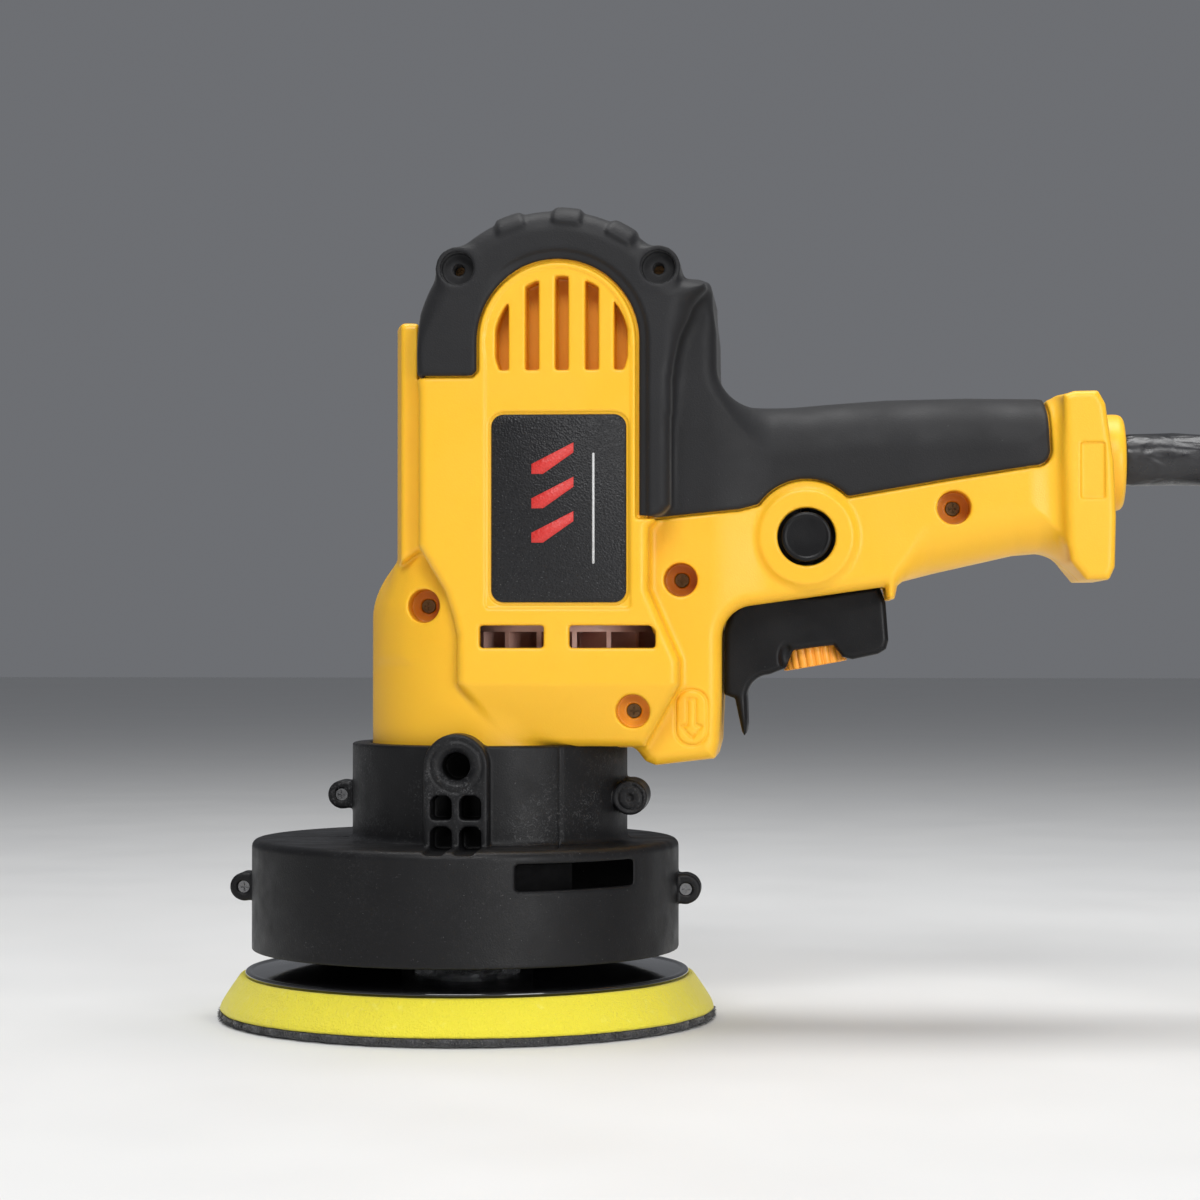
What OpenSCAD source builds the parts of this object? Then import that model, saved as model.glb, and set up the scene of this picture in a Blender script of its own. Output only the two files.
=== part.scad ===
// Electric car polisher with a geared motor, an eccentric pad drive and a side-handle socket.
// Frame: millimetres, +Z up, +X towards the end of the handle, origin at the centre of the
// pad's working face, on the axis of the output spindle.

/* [Pad] */
// Diameter of the pad's working face
pad_d = 125; // [118:1:130]
// Thickness of the foam
foam_t = 8.5; // [7:0.5:9]
// Thickness of the hook layer under the foam
hook_t = 2; // [1:0.5:2]

/* [Head] */
// Distance from the spindle axis to the pad's own axis
pad_offset = 4; // [2:0.5:5]
// Outer diameter of the shroud over the counterweight
shroud_d = 107.2; // [104:0.4:112]
// Height of the shroud's open lower edge
shroud_z = 17.6; // [17:0.1:18.5]
// Height of the shroud's flat top
shroud_top = 44.8; // [44.8:0.1:45.5]

/* [Gears] */
// Teeth on the motor pinion
pinion_teeth = 10; // [10:1:10]
// Teeth on the output gear
gear_teeth = 40; // [40:1:40]
// Gear module
gear_module = 1; // [1:1:1]

/* [Motor] */
// Outer diameter of the stator laminations
stator_d = 56; // [52:1:57]
// Diameter of the armature core
armature_d = 32; // [28:1:32]
// Outer diameter of the cooling fan
fan_d = 51; // [44:1:51]

/* [Housing] */
// Wall of the moulded shells
wall = 3.2; // [2.8:0.1:3.2]
// Thickness of the rubber grip over the shells
grip_t = 1.6; // [1.2:0.1:1.8]
// Diameter of the recesses over the housing screws
recess_d = 8.4; // [8:0.1:8.6]

/* [Cord] */
// Diameter of the mains cord
cord_d = 7; // [7:1:7]
// Mean radius of the stored coil
coil_r = 38.5; // [38.5:0.5:40]

/* [Hidden] */
$fn = 64;

eps = 0.05;
left = -1;   // the operator's left hand side is -Y
right = 1;

// Gears
pressure_angle = 25;
addendum = 0.8 * gear_module;
dedendum = 1.05 * gear_module;
backlash = 0.14;
pinion_r = gear_module * pinion_teeth / 2;
gear_r = gear_module * gear_teeth / 2;
gear_z = 57.5;
gear_t = 7;
pinion_z = 56.6;
pinion_t = 8.8;

// Motor, on its own vertical axis beside the spindle
motor_x = pinion_r + gear_r;
stator_z = 115;
stator_h = 40;
fan_z = 86.5;
fan_h = 12;
brush_z = 167;
shaft_r = 4;
motor_low_z = 73.5;    // 608 bearing: 8 x 22 x 7
motor_top_z = 178;     // 607 bearing: 7 x 19 x 6
shaft_top_r = 3.5;

// Housing
dome_z = 164.7;
dome_r = 34;
body_half = 32;
front_x = -16.6;
neck_x = 6.15;
neck_r = 29.5;
handle_half = 18;
arch_x = 26.4;
arch_r = 19.2;
arch_z = 166.8;
grip_low_z = 124.3;
label_w = 32.6;
label_h = 45.4;
label_z = 126.7;
// Housing screws: [x, z, depth of the screw's seat from the centre plane]
screw_spots = [[-7.5, 103.2, 16], [55, 109.6, 12], [43.8, 77.7, 24], [121.6, 127.2, 10],
    [1.3, 184.9, 22], [50, 184.9, 22]];
screw_r = 1.2;
screw_head_r = 1.65;
screw_sink = 1.8;    // depth of the narrow bore that the head sits in, under the seat
slot_x = [13.4, 20.3, 27.2, 34.2, 41.1];

// Collar and shroud
collar_r = 34.5;
collar_top = 69.4;
flank_z = collar_top + 0.3;   // the housing's flanks hang just clear of the collar
boss_x = 1.8;
boss_z = 64.6;
boss_r = 7.8;
boss_y = 38.4;
handle_thread_r = 3.4;   // tapping size of an M8 thread
// Screw lugs of the halves: [x, z, radius, distance of the left face from the centre plane]
lug_spots = [[-31, 56, 3.6, 4.2], [42.2, 56, 4.2, 14.4], [-55.6, 32.7, 3.6, 4.2],
    [55.6, 32.7, 3.6, 4.2]];
lug_seat = 2.6;   // the lugs' screw heads are sunk to this distance from the centre plane

// Eccentric drive
hub_z = 23.5;
bearing_r = 14;          // 6001 bearing: 12 x 28 x 8
bearing_bore = 6;
bearing_t = 8;
spindle_bearing_z = 47;
plate_r = 56.3;
plate_z = hook_t + foam_t;

// Switch and trigger
button_x = 85.7;
button_z = 120.1;
dial_x = 87.6;
dial_z = 90.4;
dial_tilt = -10;
plunger_x = 84;

// Cord
exit_x = 166.2;
exit_z = 139.6;
boot_end = 210;
coil_x = 250;
coil_y = 12;
coil_half = 9.6;
coil_h = 4 * cord_d;
lead_route = [[209, 0, 139.6], [216, 0, 139.4], [224, -1, 137.8], [233, -2, 134.6], [242, -4, 129.6],
    [251, -6, 122.8], [260, -9, 114], [268, -12, 104], [275, -16, 92.6], [281, -20, 80.6],
    [286, -23.6, 68.6], [290, -26, 57], [293.4, -27, 46], [296, -27, 36], [297.8, -25.8, 26.4],
    [299.2, -22.4, 17.6], [299.9, -16.6, 10.6], [299.8, -9, 6], [299, -1, 4], [297, 7, 3.5]];
tail_route = [[246, 56.2, 24.9], [240, 54.7, 26.5], [233, 51, 29.6], [227, 45.7, 32.7],
    [223, 39.3, 35], [220.8, 32.8, 36.2], [220, 26.5, 36.6], [220, 22, 36.6]];
// The plug lies on the coil, its face at this point and its cord towards +Y
plug_place = [220, -14, 36.6];
// The brushes' leads to the switch, and the switch's lead to the cord, inside the shells
lead_tubes = [
    [[68.8, 6, 124], [66, 6, 124.3], [62.5, 7.5, 129], [59, 8, 138], [57, 6, 148], [57, 4, 158],
        [55.5, 2, 165], [53, 1, 167], [50.1, 1, 167]],
    [[68.8, -6, 124], [66, -6, 124.3], [62.5, -7.5, 129], [59, -8, 138], [57, -7, 148],
        [56, -9, 157], [52, -13, 164], [45, -18, 166], [36, -21, 166], [25, -22, 166],
        [14, -21, 166], [5, -17, 166.5], [-1, -11, 167], [-4, -5, 167], [-3.4, -1.2, 167],
        [-0.4, -0.6, 167]],
    [[107.2, 0, 128], [110, 0, 128.2], [115, 3, 131.5], [122, 4, 134.8], [132, 3, 137.8],
        [138, 0.5, 139.5], [141.8, 0, 139.6]]];

// ---------------------------------------------------------------- helpers

// Disc lying flat, from z upwards; turned so that it doesn't start on the split plane
module disc(r, z, h) {
    translate([0, 0, z])
        rotate(40)
            cylinder(r = r, h = h);
}

// Ring lying flat, from z upwards
module ring(r_out, r_in, z, h) {
    difference() {
        disc(r_out, z, h);
        disc(r_in, z - 1, h + 2);
    }
}

module at_motor() { translate([motor_x, 0, 0]) children(); }
module at_pad() { translate([0, pad_offset, 0]) children(); }

// A child drawn in X and Z, extruded along Y between y0 and y1
module along_y(y0, y1) {
    translate([0, y1, 0])
        rotate([90, 0, 0])
            linear_extrude(y1 - y0)
                children();
}

// Cylinder whose axis runs along Y, from y0 to y1
module y_pin(x, z, r, y0, y1) {
    translate([x, y0, z])
        rotate([-90, 0, 0])
            cylinder(r = r, h = y1 - y0);
}

// Cylinder whose axis runs along X, from x0 to x1
module x_pin(x0, x1, y, z, r, r_end = -1) {
    translate([x0, y, z])
        rotate([0, 90, 0])
            cylinder(r1 = r, r2 = r_end < 0 ? r : r_end, h = x1 - x0);
}

module box(x0, x1, y0, y1, z0, z1) {
    translate([x0, y0, z0])
        cube([x1 - x0, y1 - y0, z1 - z0]);
}

// Rectangle with round corners of radius r
module rounded(x0, x1, y0, y1, r) {
    translate([x0 + r, y0])
        square([x1 - x0 - 2 * r, y1 - y0]);
    translate([x0, y0 + r])
        square([x1 - x0, y1 - y0 - 2 * r]);
    for (x = [x0 + r, x1 - r], y = [y0 + r, y1 - r])
        translate([x, y])
            circle(r);
}

function unit(v) = v / norm(v);
function point_at(p, i) = p[max(0, min(len(p) - 1, i))];
// Direction of a route at point i
function heading(p, i) = unit(point_at(p, i + 1) - point_at(p, i - 1));

// Points of a route rounded by a Catmull-Rom curve, with n steps from each point to the next
function smooth_route(p, n) = [for (i = [0:len(p) - 2], k = [0:n - 1])
    let (t = k / n, a = point_at(p, i - 1), b = p[i], c = p[i + 1], d = point_at(p, i + 2))
        0.5 * (2 * b + (c - a) * t + (2 * a - 5 * b + 4 * c - d) * t * t
            + (3 * b - a - 3 * c + d) * t * t * t), p[len(p) - 1]];

// Round tube of radius r along a route's points, with flat ends
module tube(route, r, sides = 8) {
    side = [for (i = [0:len(route) - 1])
        let (h = heading(route, i)) unit(cross(h, abs(h[1]) < 0.9 ? [0, 1, 0] : [1, 0, 0]))];
    points = [for (i = [0:len(route) - 1], k = [0:sides - 1])
        let (h = heading(route, i), u = side[i], v = cross(h, u), a = 360 * k / sides)
            route[i] + r * (cos(a) * u + sin(a) * v)];
    last = (len(route) - 1) * sides;
    walls = [for (i = [0:len(route) - 2], k = [0:sides - 1])
        [i * sides + k, i * sides + (k + 1) % sides,
            (i + 1) * sides + (k + 1) % sides, (i + 1) * sides + k]];
    polyhedron(points, concat(walls, [[for (k = [sides - 1:-1:0]) k]],
        [[for (k = [0:sides - 1]) last + k]]), convexity = 8);
}

// Helical spring wound about Z, standing on z = 0
module coil_spring(r, wire_r, h, turns) {
    steps = 12;
    route = [for (i = [0:turns * steps])
        [r * cos(360 * i / steps), r * sin(360 * i / steps),
            wire_r + (h - 2 * wire_r) * i / (turns * steps)]];
    tube(route, wire_r, 6);
}

// ---------------------------------------------------------------- ball bearings

module bearing_outer(r_out, r_in, t, z) {
    mid = (r_out + r_in) / 2;
    ball = (r_out - r_in) * 0.27;
    difference() {
        ring(r_out, mid + ball * 0.6, z, t);
        translate([0, 0, z + t / 2])
            rotate_extrude()
                translate([mid, 0])
                    circle(ball + 0.08);
    }
    for (a = [0:45:315])
        rotate(a)
            translate([mid, 0, z + t / 2])
                sphere(ball);
    for (s = [z, z + t - 0.4])
        ring(mid + ball * 0.6 + eps, mid - ball * 0.6 + 0.3, s, 0.4);
}

module bearing_inner(r_out, r_in, t, z) {
    mid = (r_out + r_in) / 2;
    ball = (r_out - r_in) * 0.27;
    difference() {
        ring(mid - ball * 0.6, r_in, z, t);
        translate([0, 0, z + t / 2])
            rotate_extrude()
                translate([mid, 0])
                    circle(ball + 0.08);
    }
}

// ---------------------------------------------------------------- gear teeth

function involute_angle(base, r) = r <= base ? 0 : tan(acos(base / r)) * 180 / PI - acos(base / r);
// Half of a tooth's angle at radius r
function tooth_half(teeth, r) =
    let (pitch = gear_module * teeth / 2, base = pitch * cos(pressure_angle))
        90 / teeth - backlash / 4 / pitch * 180 / PI
            + involute_angle(base, pitch) - involute_angle(base, r);
function polar(r, a) = [r * cos(a), r * sin(a)];

module gear_outline(teeth) {
    pitch = gear_module * teeth / 2;
    base = pitch * cos(pressure_angle);
    root = pitch - dedendum;
    tip = pitch + addendum;
    start = max(root, base);
    steps = 4;
    radii = concat(base > root ? [root] : [], [for (k = [0:steps]) start + (tip - start) * k / steps]);
    polygon([for (i = [0:teeth - 1]) each concat(
        [for (r = radii) polar(r, 360 * i / teeth - tooth_half(teeth, r))],
        [for (k = [len(radii) - 1:-1:0])
            polar(radii[k], 360 * i / teeth + tooth_half(teeth, radii[k]))])]);
}

// ---------------------------------------------------------------- housing volumes

// Domed motor head: a thick disc on its edge, with round rims
module dome(t) {
    translate([motor_x, 0, dome_z])
        rotate([90, 0, 0])
            rotate_extrude()
                intersection() {
                    rounded(-dome_r + t, dome_r - t, -body_half + t, body_half - t, 9 - t / 2);
                    translate([0, -body_half])
                        square([dome_r, 2 * body_half]);
                }
}

module barrel(t) {
    translate([0, 0, 98])
        linear_extrude(dome_z - 98)
            rounded(front_x + t, motor_x + dome_r + 1 - t, -body_half + t, body_half - t, 9 - t / 2);
    translate([0, 0, 150])
        linear_extrude(174 - t - 150)
            rounded(front_x + t, motor_x, -24 + t, 24 - t, 9 - t / 2);
}

// Block behind the motor that runs down into the handle
module spine(t) {
    translate([0, 0, 98])
        linear_extrude(184 - t - 98)
            rounded(40, 63.4 - t, -17 + t, 17 - t, 6);
}

// Round front over the gears, with a cone up to the barrel
module neck(t) {
    translate([neck_x, 0, 66.5 - (t > 0 ? 1 : 0)])
        cylinder(r = neck_r - t, h = 100 - 66.5 + (t > 0 ? 1 : 0));
    translate([neck_x, 0, 100 - eps])
        cylinder(r1 = neck_r - t, r2 = neck_x - front_x - t, h = 16);
}

// Raised sides over the fan, which taper in towards the bottom
module flanks(t) {
    intersection() {
        rotate([90, 0, 90])
            linear_extrude(54)
                polygon([[-30 + t, flank_z + t], [30 - t, flank_z + t], [36 - t, 84],
                    [36 - t, 104], [32 - t, 117], [t - 32, 117], [t - 36, 104], [t - 36, 84]]);
        along_y(-40, 40)
            polygon([[2 + t, 84 + t / 2], [13 + t, flank_z + t], [46.5 - t, flank_z + t], [53.5 - t, 84],
                [53.5 - t, 92], [47.5 - t, 104], [47.5 - t, 118], [9 + t, 118], [2 + t, 104]]);
    }
}

// Foot behind the motor, in front of the trigger
module foot(t) {
    along_y(-20 + t, 20 - t)
        polygon([[38, flank_z + t], [43 + t / 2, flank_z + t], [46.3 + t / 2, 65.2 + t],
            [48.8, 64.2 + t], [63.4 - t, 65.9 + t],
            [64.4 - t, 69.7], [64.9 - t, 94.8], [64.9 - t, 121], [38, 121]]);
}

// Slice of the handle: a rounded rectangle across X
module slice(x, half, z0, z1, r) {
    translate([x, 0, 0])
        rotate([90, 0, 90])
            linear_extrude(0.1)
                rounded(-half, half, z0, z1, r, $fn = 32);
}

module handle(t) {
    hull() {
        slice(58, handle_half - t, 100 + t, 149.6 - t, 12 - t, $fn = 32);
        slice(98, handle_half - t, 106.6 + t, 153.6 - t, 15 - t, $fn = 32);
        slice(146, handle_half - t, 117.6 + t, 154.4 - t, 15 - t, $fn = 32);
    }
    along_y(-12 + t, 12 - t)
        polygon([[100, 110], [102.5, 104.6 + t], [107.6 - t, 104.6 + t], [109.4 - t, 112]]);
}

module end_cap(t) {
    hull() {
        slice(144.5, handle_half - t, 117.6 + t, 154.4 - t, 15 - t, $fn = 32);
        slice(151, 21.5 - t, 110 + t, 156.7 - t, 14 - t, $fn = 32);
        slice(162 - t, 21.5 - t, 110 + t, 156.2 - t, 14 - t, $fn = 32);
    }
    x_pin(158, exit_x - (t > 0 ? 2.6 : 0), 0, exit_z, 11.2 - t);
}

module housing_volume(t) {
    dome(t);
    barrel(t);
    spine(t);
    neck(t);
    flanks(t);
    foot(t);
    handle(t);
    end_cap(t);
}

// The side outline of the grip: over the head, down the spine and along the handle
module grip_outline() {
    difference() {
        union() {
            translate([motor_x, dome_z])
                circle(dome_r + 5);
            translate([-8.8, 158.6])
                square([16, 10]);
            translate([45.5, grip_low_z])
                square([22, 60]);
            polygon([[60, grip_low_z], [70, 123.2], [74.5, 124.6], [79, 131.4], [89, 132.4],
                [97.6, 129.6], [145.2, 138.2], [146.8, 141], [145, 165], [60, 165]]);
        }
        translate([7.2, 100])
            square([2 * arch_r, arch_z - 100]);
        translate([arch_x, arch_z])
            circle(arch_r);
        translate([-20, 90])
            square([27.3, 68.6]);
        translate([-40, 150])
            square([31.2, 25]);
        translate([7.2 + 2 * arch_r - 1, 90])
            square([12, grip_low_z - 90]);
    }
}

// Everything that opens the shells from outside
module shell_openings(side) {
    reach = side < 0 ? [-60, -20] : [20, 60];
    along_y(reach[0], reach[1]) {
        for (x = slot_x)
            translate([x - 1.75, 159])
                square([3.5, sqrt(pow(arch_r - 3.6, 2) - pow(x - arch_x, 2)) + arch_z - 159]);
        translate([6.8, 93.2])
            square([15.6, 5]);
        polygon([[28.6, 93.2], [49.3, 93.2], [49.3, 96.8], [47.9, 98.2], [28.6, 98.2]]);
    }
    // label recess
    mirror([0, side > 0 ? 1 : 0, 0])
        along_y(-body_half - 1, -body_half + 0.8)
            rounded(arch_x - label_w / 2 - 0.3, arch_x + label_w / 2 + 0.3,
                label_z - label_h / 2 - 0.3, label_z + label_h / 2 + 0.3, 3.3);
    // trigger opening
    along_y(-10.9, 10.9)
        polygon([[65.0, 76], [65.0, 107], [67, 112.8], [106.8, 112.8], [106.8, 104.4], [102, 100],
            [102, 76]]);
    // lock button
    if (side < 0)
        y_pin(button_x, button_z, 7.1, -30, -10);
    // room for the boss of the side-handle socket
    y_pin(boss_x, boss_z, boss_r + 0.5, side < 0 ? -45 : 29, side < 0 ? -29 : 45);
    // bore for the cord's boot
    x_pin(150, 170, 0, exit_z, 5.2);
}

// Pillars round the housing screws, and the plates that hold the motor
module shell_ribs() {
    for (p = screw_spots)
        y_pin(p[0], p[1], p[1] > 180 ? 5 : 4.6, -40, 40);
    for (z = [stator_z + 4, stator_z + stator_h - 7])
        difference() {
            box(-30, 51, -40, 40, z, z + 3);
            at_motor()
                disc(stator_d / 2, 0, 400);
        }
    difference() {
        box(motor_x - 13, motor_x + 13, -12, 12, motor_top_z - 0.5, 220);
        at_motor() {
            disc(9.5, motor_top_z - 5, 11);
            disc(6, motor_top_z + 4, 9);
        }
    }
}

module screw_holes(side) {
    for (p = screw_spots)
        if (side < 0) {
            y_pin(p[0], p[1], recess_d / 2, -60, -p[2]);
            y_pin(p[0], p[1], screw_head_r + 0.2, -61, screw_sink - p[2]);
            y_pin(p[0], p[1], screw_r + 0.1, -62, 1);
        } else
            y_pin(p[0], p[1], screw_r + 0.05, -1, 14);
}

module half_space(side) {
    box(-60, 320, side < 0 ? -80 : 0, side < 0 ? 0 : 80, -5, 260);
}

module shell(side) {
    difference() {
        intersection() {
            union() {
                difference() {
                    union() {
                        housing_volume(grip_t);
                        difference() {
                            housing_volume(0);
                            along_y(-60, 60)
                                grip_outline();
                        }
                    }
                    difference() {
                        housing_volume(wall);
                        shell_ribs();
                    }
                }
                if (side < 0)
                    y_pin(button_x, button_z, 12.8, -19.5, -14);
            }
            half_space(side);
        }
        shell_openings(side);
        screw_holes(side);
    }
}

module grip_volume() {
    intersection() {
        difference() {
            housing_volume(0);
            housing_volume(grip_t);
        }
        along_y(-60, 60)
            grip_outline();
    }
}

module grip(side) {
    difference() {
        intersection() {
            grip_volume();
            half_space(side);
        }
        screw_holes(side);
        if (side < 0)
            y_pin(button_x, button_z, 13, -40, 0);
    }
    // thumb bumps over the top of the head
    for (a = [63, 90, 117])
        intersection() {
            half_space(side);
            translate([motor_x, 0, dome_z])
                rotate([0, 90 - a, 0])
                    translate([0, 0, dome_r - 0.4])
                        box(-3.4, 3.4, -22, 22, 0, 1.6);
        }
}

module left_housing() { color("gold") shell(left); }
module right_housing() { color("gold") shell(right); }
module left_grip() { color("#303032") grip(left); }
module right_grip() { color("#303032") grip(right); }

module label(side) {
    color("#2b2b2e")
        mirror([0, side > 0 ? 1 : 0, 0])
            along_y(-body_half + 0.1, -body_half + 0.75)
                rounded(arch_x - label_w / 2, arch_x + label_w / 2,
                    label_z - label_h / 2, label_z + label_h / 2, 3);
}
module left_label() { label(left); }
module right_label() { label(right); }

// Pan-head screw along Y: head at y, thread towards +Y
module side_screw(x, z, y, r, head_r, head_t, length) {
    difference() {
        union() {
            y_pin(x, z, head_r, y - head_t, y);
            y_pin(x, z, r, y - eps, y + length);
        }
        for (a = [0, 90])
            translate([x, y - head_t, z])
                rotate([0, a, 0])
                    box(-head_r * 0.6, head_r * 0.6, -1, head_t / 2, -head_r / 7, head_r / 7);
    }
}

module housing_screws() {
    color("silver")
        for (p = screw_spots)
            side_screw(p[0], p[1], screw_sink - p[2], screw_r, screw_head_r, 1.5, p[2] + 10);
}

// ---------------------------------------------------------------- collar and shroud

module shroud_body() {
    difference() {
        union() {
            ring(shroud_d / 2, shroud_d / 2 - 2.5, shroud_z, shroud_top - shroud_z);
            difference() {
                ring(shroud_d / 2, 26, shroud_top - 2.5, 2.5);
                translate([neck_x, 0, 0])
                    disc(neck_r + 0.3, 0, 60);
            }
            translate([neck_x, 0, 0])
                ring(collar_r, neck_r + 0.3, shroud_top - 2.5, collar_top - shroud_top + 2.5);
            // step that carries the gear case
            translate([neck_x, 0, 0])
                ring(collar_r, neck_r - 3.5, shroud_top - 2.5, 3.7);
            for (s = [left, right]) {
                y_pin(boss_x, boss_z, boss_r, s < 0 ? -boss_y : 29, s < 0 ? -29 : boss_y);
                box(boss_x - boss_r, boss_x + boss_r, s < 0 ? -boss_y : 29,
                    s < 0 ? -29 : boss_y, shroud_top - 1, boss_z);
            }
            for (p = lug_spots)
                y_pin(p[0], p[1], p[2], -p[3], 4.2);
            for (p = lug_spots)
                box(p[0] + (p[0] < 0 ? 0 : -6), p[0] + (p[0] < 0 ? 6 : 0), -4.2, 4.2,
                    p[1] - p[2], p[1] + p[2]);
        }
        // inside of the collar and of the shroud stay clear
        translate([neck_x, 0, 0])
            disc(neck_r + 0.3, shroud_top + 1.2, 40);
        disc(shroud_d / 2 - 2.5, 10, shroud_top - 2.5 - 10);
        // side-handle sockets: a hex pocket for the nut and a hole through the wall
        for (s = [left, right]) {
            y_pin(boss_x, boss_z, 4.4, s < 0 ? -60 : 20, s < 0 ? -20 : 60);
            translate([boss_x, s < 0 ? -30.5 : 36.9, boss_z])
                rotate([90, 30, 0])
                    cylinder(r = 6.6 / cos(30), h = 6.4, $fn = 6);
            y_pin(boss_x, boss_z, 5, s < 0 ? -60 : boss_y - 0.5, s < 0 ? -boss_y + 0.5 : 60);
            for (x = [-3.6, 3.6], z = [47.4, 54.6])
                box(boss_x + x - 2.5, boss_x + x + 2.5, s < 0 ? -60 : 31.5,
                    s < 0 ? -31.5 : 60, z - 2.8, z + 2.8);
        }
        // sight slot in the left half, for a key on the hub's flats
        box(17.2, 43.9, -60, -20, 35.7, 42.1);
        for (p = lug_spots) {
            y_pin(p[0], p[1], 1.8, -20, -lug_seat);
            y_pin(p[0], p[1], 1.25, -21, 20);
        }
    }
}

module shroud(side) {
    color("#262628")
        intersection() {
            shroud_body();
            half_space(side);
        }
}
module left_shroud() { shroud(left); }
module right_shroud() { shroud(right); }

module shroud_screws() {
    color("silver")
        for (p = lug_spots)
            side_screw(p[0], p[1], -lug_seat, 1.2, 1.7, 1.3, 6.6);
}

module side_handle_nuts() {
    color("darkgray")
        for (s = [left, right])
            difference() {
                translate([boss_x, s < 0 ? -30.6 : 36.9, boss_z])
                    rotate([90, 30, 0])
                        cylinder(r = 6.5 / cos(30), h = 6.3, $fn = 6);
                y_pin(boss_x, boss_z, handle_thread_r, -50, 50);
            }
}

// ---------------------------------------------------------------- gear case

// The screws of the gear plate stand where the case is solid, beside the gears
module at_plate_screws() {
    for (a = [50, 84, 276, 310])
        translate([neck_x + 23 * cos(a), 23 * sin(a), 0])
            children();
}

module gear_case() {
    color("lightgray")
        difference() {
            translate([neck_x, 0, shroud_top + 1.3])
                cylinder(r = neck_r, h = 65.4 - shroud_top - 1.3);
            cylinder(r = gear_r + 1.4, h = 80);
            at_motor()
                cylinder(r = pinion_r + 1.5, h = 80);
            at_plate_screws()
                translate([0, 0, 52])
                    cylinder(r = 1.45, h = 20);
        }
    // floor with the seat of the spindle's bearing
    color("lightgray")
        difference() {
            translate([neck_x, 0, shroud_top + 1.3])
                cylinder(r = neck_r - 2, h = 56 - shroud_top - 1.3);
            translate([0, 0, spindle_bearing_z])
                cylinder(r = bearing_r, h = 20);
            cylinder(r = 9.5, h = 80);
        }
}

module gear_plate() {
    color("lightgray")
        difference() {
            union() {
                translate([neck_x, 0, 65.45])
                    cylinder(r = 26.1, h = 5.5);
                at_motor()
                    cylinder(r = 13.4, h = motor_low_z + 7);
                cylinder(r = 8.4, h = 76);
            }
            cylinder(r = 60, h = 65.45);
            translate([neck_x, 0, 60])
                difference() {
                    cylinder(r = 60, h = 13);
                    translate([0, 0, -1])
                        cylinder(r = 26.1, h = 20);
                }
            at_motor() {
                translate([0, 0, motor_low_z])
                    cylinder(r = 11, h = 20);
                cylinder(r = pinion_r + 1.5, h = 100);
            }
            translate([0, 0, 66.5])
                cylinder(r = 6, h = 20);
            cylinder(r = 4.6, h = 100);
            at_plate_screws()
                translate([0, 0, 52])
                    cylinder(r = 1.6, h = 40);
        }
}

module gear_plate_screws() {
    color("silver")
        at_plate_screws() {
            translate([0, 0, 58])
                cylinder(r = 1.4, h = 13);
            translate([0, 0, 70.95])
                cylinder(r = 2.8, h = 2);
        }
}

// ---------------------------------------------------------------- motor

module stator_core() {
    color("gray")
        at_motor()
            difference() {
                translate([0, 0, stator_z])
                    cylinder(r = stator_d / 2, h = stator_h);
                cylinder(r = armature_d / 2 + 0.5, h = 300);
                // the two winding slots beside each pole
                for (s = [left, right])
                    intersection() {
                        ring(23.5, armature_d / 2, 0, 300);
                        box(-14, 14, s < 0 ? -30 : 0, s < 0 ? 0 : 30, 0, 300);
                    }
            }
}

module field_coils() {
    color("#b06a2c")
        at_motor()
            for (s = [left, right])
                intersection() {
                    difference() {
                        ring(23.2, armature_d / 2 + 1, stator_z - 7, stator_h + 14);
                        // the coil's bundle is open over the pole's face
                        box(-9, 9, -30, 30, stator_z - 1, stator_z + stator_h + 1);
                    }
                    box(-13.6, 13.6, s < 0 ? -30 : 0.1, s < 0 ? -0.1 : 30, 0, 300);
                }
}

// Brass boxes that carry the brushes on either side of the commutator
module brush_holders() {
    color("#c9a45a")
        for (s = [left, right])
            difference() {
                box(motor_x + (s < 0 ? -25 : 12), motor_x + (s < 0 ? -12 : 25), -4.2, 4.2,
                    brush_z - 5.2, brush_z + 5.2);
                box(motor_x + (s < 0 ? -24 : 11), motor_x + (s < 0 ? -11 : 24), -3.1, 3.1,
                    brush_z - 4.1, brush_z + 4.1);
            }
}

module carbon_brushes() {
    color("#26262a")
        for (s = [left, right])
            intersection() {
                box(motor_x + (s < 0 ? -19 : 9), motor_x + (s < 0 ? -9 : 19), -3, 3,
                    brush_z - 4, brush_z + 4);
                at_motor()
                    ring(40, 10.15, brush_z - 6, 12);
            }
}

module brush_springs() {
    color("silver")
        for (s = [left, right])
            translate([motor_x + s * 19.05, 0, brush_z])
                rotate([0, s * 90, 0])
                    coil_spring(2.2, 0.35, 4.9, 4);
}

module fan_baffle() {
    color("#4a4a4c")
        at_motor()
            difference() {
                ring(27.6, 19.5, 101.2, 1.6);
                box(20, 40, -40, 40, 100, 110);
                translate([-31.8, 0, 0])
                    cylinder(r = 6, h = 200);
            }
}

module motor_bearings() {
    color("silver")
        at_motor() {
            bearing_outer(11, shaft_r, 7, motor_low_z);
            bearing_outer(9.5, shaft_top_r, 6, motor_top_z);
        }
}

module motor_bearing_rings() {
    color("silver")
        at_motor() {
            bearing_inner(11, shaft_r, 7, motor_low_z);
            bearing_inner(9.5, shaft_top_r, 6, motor_top_z);
        }
}

module armature_shaft() {
    color("silver")
        at_motor() {
            translate([0, 0, pinion_z - 0.4])
                cylinder(r = 2.9, h = pinion_t + 0.8);
            translate([0, 0, pinion_z + pinion_t + 0.3])
                cylinder(r = shaft_r, h = motor_top_z - pinion_z - pinion_t - 0.8);
            translate([0, 0, motor_top_z - 1])
                cylinder(r = shaft_top_r, h = 8);
        }
}

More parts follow.
